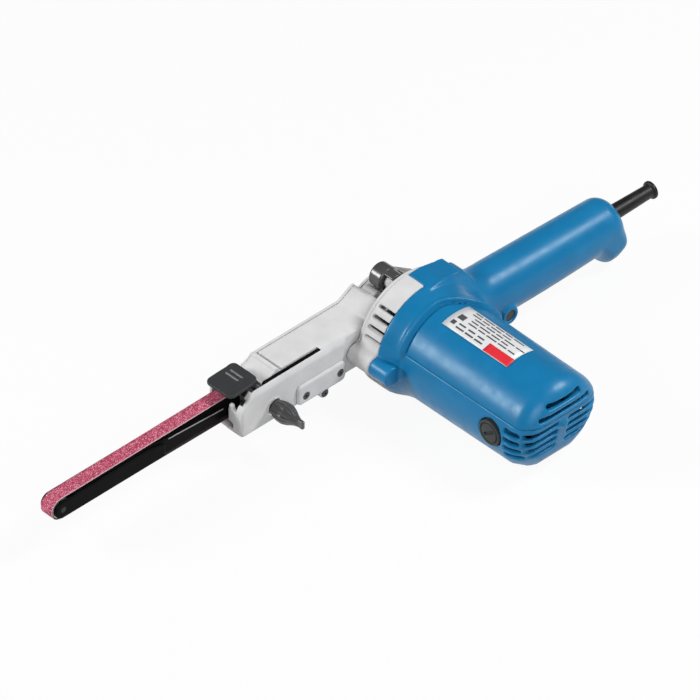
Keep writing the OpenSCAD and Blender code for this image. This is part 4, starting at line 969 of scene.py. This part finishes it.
def head_form(g):
    """The outside of the belt head: a long box with a round rear end, a shoulder and lugs."""
    d = box(g, (HEAD_REAR, HEAD_FAR, HEAD_LOW), (HEAD_FRONT, HEAD_BACK, HEAD_TOP), edge=1.2)
    near = box(g, (HEAD_REAR, 5, HEAD_LOW), (HEAD_FRONT, HEAD_NEAR, HEAD_TOP), edge=1.2)
    d = join(d, cut(near, np.hypot(g.x, g.z) - BOSS_SWEEP, edge=1.5), fillet=1)
    out = np.maximum(g.y - HEAD_NEAR + HEAD_ROLL, 0)
    over = np.maximum(g.z - HEAD_TOP + HEAD_ROLL, 0)
    d = both(d, np.hypot(out, over) - HEAD_ROLL)
    d = join(d, tube(g, "y", *HEAD_ROUND, edge=1.5), fillet=2)
    rise = g.z - SHOULDER_RISE * ease(*SHOULDER_Y, g.y)
    shoulder = both(wedge(g.x, rise, SHOULDER), slab(g.y, HEAD_FAR, HEAD_BACK), edge=0.9)
    d = join(d, shoulder, fillet=1.2)
    d = join(d, clamp_ear(g), fillet=1.5)
    d = join(d, tube(g, "y", *KNUCKLE, edge=0.8), fillet=1.5)
    d = join(d, tube(g, "y", *LIP, edge=0.6), fillet=0.6)
    groove = both(slab(g.x, *GROOVE_X), GROOVE_Z - g.z)
    d = cut(d, both(groove, g.y - SLOT_FAR), edge=0.3)
    return join(d, tube(g, "y", *SIDE_TAB, edge=0.6), fillet=1)


def head_cuts(g, d):
    """Cuts the ramp, the stepped front, the rooms for arm and belt, and the link's slot."""
    ramp = np.hypot(g.x - RAMP_TOP - BOWL_X, g.z - RAMP_Z - BOWL_R) - BOWL_R
    ramp = join(ramp, both(RAMP_TOP + BOWL_X - g.x, RAMP_Z - g.z))
    d = cut(d, both(ramp, g.y - SLOT_FAR), edge=0.8)
    d = cut(d, box(g, (LEDGE_X, -FAR, ROOF_Z), (2 * FAR, SLOT_FAR, FAR)), edge=0.4)
    d = cut(d, both(wedge(g.x, g.z, NEAR_SLOPE), SLOT_FAR - 0.5 - g.y), edge=1.6)
    d = cut(d, box(g, (STEP_X, 0, FRONT_WALL_TOP), (2 * FAR, SLOT_FAR + GAP, FAR)), edge=0.8)
    d = cut(d, box(g, (CAVITY_REAR, -FAR, CAVITY_LOW), (RAMP_TOP - HEAD_WALL, CAVITY_NEAR, CAVITY_TOP)))
    d = cut(d, box(g, (RAMP_TOP - 4, -FAR, CAVITY_LOW), (HEAD_FRONT - HEAD_WALL, CAVITY_NEAR, ROOF_Z)))
    d = cut(d, box(g, (0, -FAR, CAVITY_LOW), (CAVITY_REAR + 0.5, CHAMBER_NEAR, CAVITY_TOP)))
    d = cut(d, tube(g, "y", *CHAMBER))
    mouth = HEAD_FRONT - 4
    d = cut(d, box(g, (mouth, -FAR, CAVITY_LOW), (2 * FAR, MOUTH_NEAR, ROOF_Z)), edge=0.5)
    notch = box(g, (mouth, NOTCH_Y[0], CAVITY_LOW), (2 * FAR, NOTCH_Y[1], NOTCH_TOP), edge=1.2)
    d = cut(d, notch, edge=0.6)
    post_rear = HEAD_FRONT - HEAD_WALL
    post = box(g, (post_rear, FRONT_POST_Y[0], 0), (HEAD_FRONT, FRONT_POST_Y[1], POST_TOP), edge=0.6)
    d = join(d, post, fillet=0.8)
    d = cut(d, box(g, (SLOT_REAR, SLOT_FAR, 0), (STEP_X, CAVITY_NEAR, SLOT_ROOF)))
    return cut(d, box(g, (SLOT_OPEN, SLOT_FAR, 0), (STEP_X, CAVITY_NEAR, FAR), edge=0.6), edge=0.5)


def belt_housing():
    g = Grid((-20, -7, -19), (123, 19, 35), 0.5)
    d = head_cuts(g, head_form(g))
    for x in COVER_POSTS:
        d = join(d, tube(g, "y", (x, 0), COVER_POST_R, HEAD_FAR, CHAMBER_NEAR + 0.1))
        d = cut(d, tube(g, "y", (x, 0), SMALL_SCREW_R, -FAR, 5))
    d = join(d, tube(g, "y", *EYE, edge=0.3))
    strap = box(g, (EYE_STRAP_X[0], HEAD_FAR, ROOF_Z), (EYE_STRAP_X[1], EYE_BACK, RAMP_Z), edge=0.3)
    d = join(d, strap, fillet=0.5)
    d = cut(d, tube(g, "x", *SPRING_SEAT))
    for hole in (PIVOT_SOCKET, SHAFT_ROOM, CLAMP_HOLE, PIN_HOLE, TRACKING_HOLE):
        d = cut(d, tube(g, "y", *hole))
    shell("head_casting", g, d, "head", "silver_casting", "belt_housing")


def side_plate():
    g = Grid((44, 17.5, -19), (83, 21, 2), 0.4)
    outline = both(slab(g.x, BOSS_SWEEP + 0.5, BOSS_SWEEP + 36), slab(g.z, HEAD_LOW, 0.5), edge=3)
    tab = np.hypot(g.x - SIDE_SCREWS[1][0], g.z - SIDE_SCREWS[1][1]) - SIDE_TAB_R
    d = both(join(outline, tab, fillet=1.5), slab(g.y, HEAD_NEAR - 1.5, HEAD_NEAR + 2), edge=1.6)
    d = both(d, HEAD_NEAR - g.y)
    for place in SIDE_SCREWS:
        d = cut(d, tube(g, "y", place, SMALL_HEAD_R, HEAD_NEAR + 1, FAR), edge=0.3)
        d = cut(d, tube(g, "y", place, SMALL_SCREW_R, 0, FAR))
    shell("side_pad", g, d, "head", "silver_plate", "side_plate")


def release_lever():
    """The flat paddle with its barrel, and two ribs on it in a paler paint that is a painted highlight.
    """
    g = Grid((101, -9, 8), (127, 15, 18), 0.35)
    plate = both(slab(g.x, *LEVER_X), slab(g.y, *LEVER_Y), edge=4)
    crown = LEVER_TOP + LEVER_LIFT * (1 - ease(*LEVER_LIFT_X, g.x)) - LEVER_DIP * ease(*LEVER_DIP_X, g.x)
    d = both(plate, np.abs(g.z - crown + LEVER_HALF) - LEVER_HALF, edge=0.7)
    barrel = tube(g, "y", *BARREL, edge=0.4)
    lo = (LEVER_X[0], BARREL_Y[0], LEVER[1])
    hi = (LEVER_X[0] + 4, BARREL_Y[1], LEVER_TOP - 1)
    d = join(d, join(barrel, box(g, lo, hi, edge=0.5), fillet=0.8), fillet=1.2)
    d = cut(d, tube(g, "y", *BARREL_BORE))
    shell("lever_paddle", g, d, "tension_lever", "lever_dark", "release_lever")
    # The ribs take the paler paint, a painted highlight
    g = Grid((108, -6, 14), (115, 8, 17), 0.2)
    d = NOWHERE
    for x in LEVER_RIBS:
        lo = (x - RIB_HALF, RIB_Y[0], LEVER_TOP - 1)
        hi = (x + RIB_HALF, RIB_Y[1], LEVER_TOP + 0.4)
        d = join(d, box(g, lo, hi, edge=0.6))
    shell("lever_grips", g, d, "tension_lever", "lever_dark", look="lever_rib_glint")


def tracking_knob():
    g = Grid((90, 19, -11), (105, 43, 5), 0.28)
    x, z = TRACKING
    a = g.x - x
    b = g.z - z
    t = np.clip((g.y - KNOB_BASE) / KNOB_LEN, 0, 1)
    radius = KNOB_R + KNOB_SWELL * ease(0, 0.3, t) - KNOB_TAPER * ease(0.45, 1.05, t)
    wave = 0.5 + 0.5 * np.cos(FLUTES * np.arctan2(b, a))
    flute = FLUTE_DEPTH * ease(0.08, 0.2, t) * (1 - ease(0.62, 0.85, t)) * wave
    d = both(np.hypot(a, b) - radius + flute, slab(g.y, KNOB_BASE, KNOB_TIP), edge=0.8)
    tab = box(g, (x - 1.1, KNOB_TIP - 2.5, z - 2.6), (x + 1.1, KNOB_TIP + 4, z + 2.6), edge=0.6)
    d = join(d, tab, fillet=1)
    d = cut(d, tube(g, "y", *KNOB_BORE))
    shell("knob", g, d, "tracker", "knob_black", "tracking_knob")


def clamp_lever():
    """The hub with its tail, a raised wing along the tail, and a dark skirt round the bolt that is
    painted shade between hub and ear.
    """
    g = Grid((-22, -1, 11), (12, 16, 35), 0.4)
    a = g.x - CLAMP[0]
    b = g.z - CLAMP[1]
    r = np.hypot(a, b)
    along, across = turned(a, b, CLAMP_REST)
    tip = np.hypot(along - CLAMP_TIP[0], across - CLAMP_TIP[1]) - CLAMP_TIP_R
    tail = join(wedge(along, across, CLAMP_TAIL), tip, fillet=0.8)
    arm = both(tail, slab(g.y, CLAMP_ARM_FAR, CLAMP_END - GAP), edge=1.2)
    wing = both(tail, slab(g.y, CLAMP_ARM_FAR, CLAMP_WING_END), edge=1.2)
    arm = join(arm, cut(wing, r - CLAMP_WING_R, edge=0.6), fillet=0.5)
    d = join(tube(g, "y", *CLAMP_HUB, edge=1), arm, fillet=1.5)
    # A dark skirt over the ear: painted shade
    span = np.abs(np.arctan2(b, a) - SKIRT_MID) - SKIRT_REACH
    shade_skirt = both(np.abs(r - SKIRT_R) - SKIRT_HALF, slab(g.y, *SKIRT_Y), edge=0.4)
    d = join(d, both(shade_skirt, SKIRT_R * span), fillet=0.4)
    d = cut(d, both(np.abs(r - RING_R) - 0.4, g.y - 0.5), edge=0.2)
    d = cut(d, tube(g, "y", *CLAMP_BORE))
    shell("clamp_handle", g, d, "clamp", "knob_black", "clamp_lever")


def belt_arm():
    """The black bar with cheeks at its nose, and a pale strip along its upper edge that is a painted
    highlight.
    """
    g = Grid((60, -7, -7), (250, 7, 7), 0.45)
    bar = join(wedge(g.x, g.z, ARM_BACK), wedge(g.x, g.z, ARM_RISE), fillet=0.5)
    bar = both(join(bar, wedge(g.x, g.z, ARM_FRONT), fillet=1), np.abs(g.y) - ARM_HALF, edge=0.7)
    cheek = join(wedge(g.x, g.z, CHEEK), np.hypot(g.x - NOSE_X, g.z) - CHEEK_R)
    cheeks = both(cheek, slab(np.abs(g.y), *CHEEK_Y), edge=0.5)
    web = box(g, (SHOE_REAR + 3, -WEB_HALF, WEB_Z[0]), (ARM_TIP, WEB_HALF, WEB_Z[1]))
    d = join(join(bar, cheeks), web)
    d = cut(d, tube(g, "y", *AXLE_HOLE))
    shell("arm_bar", g, d, "arm", "arm_black", "belt_arm")
    # A pale strip along the upper edge: a painted highlight
    g = Grid((121, 3.4, 0), (164, 4.4, 3.5), 0.2)
    (x0, z0), (x1, z1) = ARM_RISE[:2]
    line = z0 + (g.x - x0) * (z1 - z0) / (x1 - x0)
    glint = np.hypot(g.y - ARM_HALF + GLINT_IN, g.z - line + GLINT_IN) - GLINT_R
    shell("arm_edge", g, both(glint, slab(g.x, x0, x1), edge=0.2), "arm", "arm_black", look="arm_edge_glint")


def belt_path():
    """Places along the belt's inner side: wheel X, radius and angle."""
    lap = math.acos((DRIVE_IN - NOSE_IN) / NOSE_X)
    path = []
    for f in np.linspace(0, 1, RUN_STEPS, endpoint=False):
        path.append((NOSE_X * (1 - f), NOSE_IN + (DRIVE_IN - NOSE_IN) * f, lap))
    for a in np.linspace(lap, 2 * math.pi - lap, WRAP_STEPS, endpoint=False):
        path.append((0, DRIVE_IN, a))
    for f in np.linspace(0, 1, RUN_STEPS, endpoint=False):
        path.append((NOSE_X * f, DRIVE_IN + (NOSE_IN - DRIVE_IN) * f, -lap))
    for a in np.linspace(-lap, lap, WRAP_STEPS, endpoint=False):
        path.append((NOSE_X, NOSE_IN, a))
    return path


def abrasive_belt():
    """The belt as one swept band: gritty outside, near-black cloth inside and on the lower edges as
    painted shade, with pale upper edges as a painted highlight.
    """
    half = BELT_W / 2
    high, wide = BELT_T - BELT_BEVEL[0], half - BELT_BEVEL[1]
    section = [(0, -half + BELT_ROUND), (BELT_ROUND, -half), (high, -half), (BELT_T, -wide),
               (BELT_T, wide), (high, half), (BELT_ROUND, half), (0, half - BELT_ROUND)]
    grit_side = 3
    path = belt_path()
    points = []
    for x, r, a in path:
        points += [(x + (r + rise) * math.cos(a), y, (r + rise) * math.sin(a)) for rise, y in section]
    faces = band_faces(len(path), len(section))
    obj = mesh_object("belt_band", to_row(points), faces)
    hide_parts("abrasive_belt")
    for look in ("abrasive", "belt_cloth_shade", "belt_edge_highlight"):
        obj.data.materials.append(LOOKS[look])
    sides = np.tile(np.arange(len(section)), len(path))
    # Pale edges only where the belt faces up are a painted highlight; the lower edges keep the dark
    # cloth as painted shade
    upper = np.repeat([math.sin(a) > -0.6 for _, _, a in path], len(section))
    pale = upper & np.isin(sides, (grit_side - 1, grit_side + 1))
    looks = np.where(sides == grit_side, 0, np.where(pale, 2, 1))
    obj.data.polygons.foreach_set("material_index", looks.astype(np.int32))
    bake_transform(obj)


def band_faces(rings, sides):
    """Quads of a closed band of rings, each with that many corners."""
    faces = []
    for i in range(rings):
        here, after = i * sides, (i + 1) % rings * sides
        for j in range(sides):
            k = (j + 1) % sides
            faces.append((here + j, here + k, after + k, after + j))
    return np.array(faces)


def cord_guard():
    """The rubber sleeve with a rim at its tip and a collar that the housing holds."""
    g = Grid((-179, 20, -9), (-141, 38, 9), 0.4)
    r = np.hypot(g.y - HANDLE_Y, g.z)
    body = both(r - GUARD_R - GUARD_FLARE * (g.x - GUARD_TIP), slab(g.x, GUARD_TIP, GUARD_ROOT))
    rim = both(r - GUARD_RIM_R, slab(g.x, GUARD_TIP, GUARD_TIP + GUARD_RIM_T), edge=0.8)
    collar = both(r - GUARD_COLLAR_R, slab(g.x, GUARD_ROOT - GUARD_COLLAR_T, GUARD_ROOT), edge=0.5)
    d = join(join(body, rim, fillet=0.8), collar)
    d = cut(d, tube(g, "x", *GUARD_BORE), edge=0.3)
    shell("guard_sleeve", g, d, "housing", "guard_rubber", "cord_guard")


def brush_caps():
    """The screwed caps over the brushes, each with a ring groove and a slot."""
    for s, name in ((1, "cap_near"), (-1, "cap_far")):
        lo, hi = sorted((s * 26, s * 33))
        g = Grid((lo, BRUSH_Y - 9, -9), (hi, BRUSH_Y + 9, 9), 0.3)
        y = g.y - BRUSH_Y
        r = np.hypot(y, g.z)
        out = s * g.x
        along, across = turned(y, g.z, CAP_TURN)
        d = both(r - CAP_R, slab(out, *CAP_X), edge=0.7)
        d = cut(d, both(np.abs(r - CAP_RING_R) - 0.4, CAP_RING_FLOOR - out), edge=0.2)
        slot = both(np.abs(across) - CAP_SLOT[1], np.abs(along) - CAP_SLOT[0])
        d = cut(d, both(slot, CAP_SLOT_FLOOR - out), edge=0.2)
        stands_for = ("brush_caps",) if s > 0 else ()
        shell(name, g, d, "housing", "cap_plastic", *stands_for)


def trigger():
    g = Grid((-104, 23, -23), (-67, 35, -10), 0.4)
    body = np.hypot(g.y - HANDLE_Y, np.minimum(g.z - KEY_MID, 0)) - KEY_HALF
    body = both(both(body, slab(g.x, *KEY_X), edge=2), g.z - KEY_TOP, edge=0.3)
    d = join(body, box(g, *KEY_LIP, edge=0.3))
    shell("trigger_key", g, d, "trigger_body", "trigger_black", "trigger")


# Node, body, joint, axis, the fixed end's place on that axis and the joint's travel, in metres
SPRINGS = (
    ("tension_spring", "head", "arm_slide", (1, 0, 0), 0.0422, 0.008),
    ("trigger_springs", "housing", "trigger_squeeze", (0, 0, 1), 0.0222, 0.004),
    ("button_spring", "housing", "lock_push", (0, 1, 0), -0.0499, 0.003),
)


def springs():
    """Copies of the coil nodes in spring steel, each on its body, with the node hidden."""
    for node, body, joint, axis, fixed, travel in SPRINGS:
        source = nodes[node]
        obj = new_object(node + "_coil", source.data.copy())
        obj.matrix_world = source.matrix_world.copy()
        obj.data.materials.clear()
        piece(obj, body, "spring_steel", node)
        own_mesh(obj)


# Label spans: two Y places in millimetres and two angles in degrees
LABEL_PLATE = (58.5, 109, 71, 109)
LABEL_BLOCK = (90, 109.5, 71.5, 82.5)
LABEL_SQUARES = ((62, 66.5, 86, 93), (61.5, 64.5, 77, 82))
LABEL_ROWS = (105, 100.5, 96, 91.5, 87)
LABEL_FOOT_ROWS = (80.5, 75.5)
LABEL_T = 0.15
PLATE_LIFT = 0.45
INK_LIFT = 0.55
BLOCK_LIFT = 0.6


def label_patch(name, look, spans, lift, count=10):
    """Thin patches laid on the cover's round top; each is two Y places and two angles."""
    points = []
    faces = []
    for y0, y1, a0, a1 in spans:
        first = len(points)
        angles = np.radians(np.linspace(a0, a1, count))
        for y in np.linspace(y0, y1, count):
            r = MOTOR_R - MOTOR_TAPER * float(ease(*MOTOR_TAPER_Y, y)) + lift
            points += [(r * math.cos(a), y, r * math.sin(a)) for a in angles]
        for i in range(count - 1):
            for j in range(count - 1):
                k = first + i * count + j
                faces.append((k, k + 1, k + count + 1, k + count))
    obj = mesh_object(name, to_row(points), np.array(faces))
    thick = obj.modifiers.new("thickness", "SOLIDIFY")
    thick.thickness = LABEL_T * MM
    piece(obj, "housing", "blue_plastic", look=look)


def rating_label():
    """A generic plate with plain bars and blocks."""
    label_patch("label_plate", "label_face", [LABEL_PLATE], PLATE_LIFT)
    label_patch("label_block", "label_red", [LABEL_BLOCK], BLOCK_LIFT)
    bars = list(LABEL_SQUARES)
    for row, angle in enumerate(LABEL_ROWS):
        start = 66 if row < 2 else 70
        for word in range(5 - row % 2):
            length = 5.2 + 1.3 * ((row + 2 * word) % 3)
            bars.append((start, start + length, angle, angle + 1.5))
            start += length + 1.2
    for row, angle in enumerate(LABEL_FOOT_ROWS):
        for word in range(3):
            start = 66.5 + 7.2 * word
            bars.append((start, start + 5 + row, angle, angle + 1.8))
    label_patch("label_ink", "label_ink", bars, INK_LIFT)


# Stage, light and camera

AZIMUTH = math.radians(136.6)
ELEVATION = math.radians(40)
DISTANCE = 10
SCALE = 1.83
FRAME_PX = 700
ORIGIN_PX = (381.5, 306.8)
SENSOR = 36
FLOOR_SIZE = 12
FLOOR_DROP = 0.0005
FLOOR_GREY = 0.62
FLOOR_WHITE = 0.93
SKY = 0.14
# Each lamp's name, place, size and power
LAMPS = (
    ("over_handle", (-0.62, 0.42, 0.95), 0.4, 12),
    ("front_left", (0.84, -0.67, 0.55), 0.4, 9.5),
    ("near_side", (0.6, 0.85, 0.7), 0.7, 6.5),
)
LAMP_AIM = (0, 0, 0.02)


def camera():
    """A long lens at the photo's angle, framed so that the motor axis falls on its pixel."""
    flat = math.cos(ELEVATION)
    back = Vector((math.sin(AZIMUTH) * flat, -math.cos(AZIMUTH) * flat, math.sin(ELEVATION)))
    right = Vector((0, 0, 1)).cross(back).normalized()
    up = back.cross(right)
    shift_right = (ORIGIN_PX[0] - FRAME_PX / 2) / SCALE * MM
    shift_up = (FRAME_PX / 2 - ORIGIN_PX[1]) / SCALE * MM
    target = Vector(to_row((0, 0, 0))) - right * shift_right - up * shift_up
    data = bpy.data.cameras.new("camera")
    data.sensor_width = SENSOR
    data.lens = SENSOR * DISTANCE / (FRAME_PX / SCALE * MM)
    data.clip_end = 4 * DISTANCE
    obj = new_object("camera", data)
    obj.matrix_world = Matrix((right, up, back)).transposed().to_4x4()
    obj.location = target + back * DISTANCE
    bpy.context.scene.camera = obj


def area_light(name, place, size, power):
    data = bpy.data.lights.new(name, "AREA")
    data.shape = "DISK"
    data.size = size
    data.energy = power
    obj = new_object(name, data)
    obj.location = place
    obj.rotation_euler = (Vector(LAMP_AIM) - Vector(place)).to_track_quat("-Z", "Y").to_euler()


def seen_white(tree, plain, share):
    """Mixes plain white into what the camera and mirror-like surfaces see of a shader."""
    link = tree.links.new
    path = tree.nodes.new("ShaderNodeLightPath")
    seen = tree.nodes.new("ShaderNodeMath")
    seen.operation = "MAXIMUM"
    link(path.outputs["Is Camera Ray"], seen.inputs[0])
    link(path.outputs["Is Glossy Ray"], seen.inputs[1])
    part = tree.nodes.new("ShaderNodeMath")
    part.operation = "MULTIPLY"
    part.inputs[1].default_value = share
    link(seen.outputs[0], part.inputs[0])
    white = tree.nodes.new("ShaderNodeEmission")
    fill(white, {"Color": (1, 1, 1, 1), "Strength": 1})
    mix = tree.nodes.new("ShaderNodeMixShader")
    link(part.outputs[0], mix.inputs["Fac"])
    link(plain, mix.inputs[1])
    link(white.outputs[0], mix.inputs[2])
    return mix.outputs[0]


def stage():
    """A pale floor, an even sky and the lamps."""
    bpy.ops.mesh.primitive_plane_add(size=FLOOR_SIZE, location=(0, 0, -FLOOR_DROP))
    floor = bpy.context.object
    floor.name = "floor"
    material = bpy.data.materials.new("floor_white")
    material.use_nodes = True
    tree = material.node_tree
    tree.nodes.clear()
    out = tree.nodes.new("ShaderNodeOutputMaterial")
    plain = tree.nodes.new("ShaderNodeBsdfDiffuse")
    fill(plain, {"Color": (FLOOR_GREY, FLOOR_GREY, FLOOR_GREY, 1)})
    tree.links.new(seen_white(tree, plain.outputs[0], FLOOR_WHITE), out.inputs["Surface"])
    floor.data.materials.append(material)
    world = bpy.data.worlds.new("studio")
    bpy.context.scene.world = world
    world.use_nodes = True
    fill(world.node_tree.nodes["Background"], {"Color": (1, 1, 1, 1), "Strength": SKY})
    for lamp in LAMPS:
        area_light(*lamp)


dress_nodes()
main_housing()
motor_cover()
handle_cover()
front_bracket()
belt_housing()
side_plate()
release_lever()
tracking_knob()
clamp_lever()
belt_arm()
abrasive_belt()
cord_guard()
brush_caps()
trigger()
springs()
rating_label()
stage()
camera()
bpy.context.scene.view_settings.view_transform = "Standard"
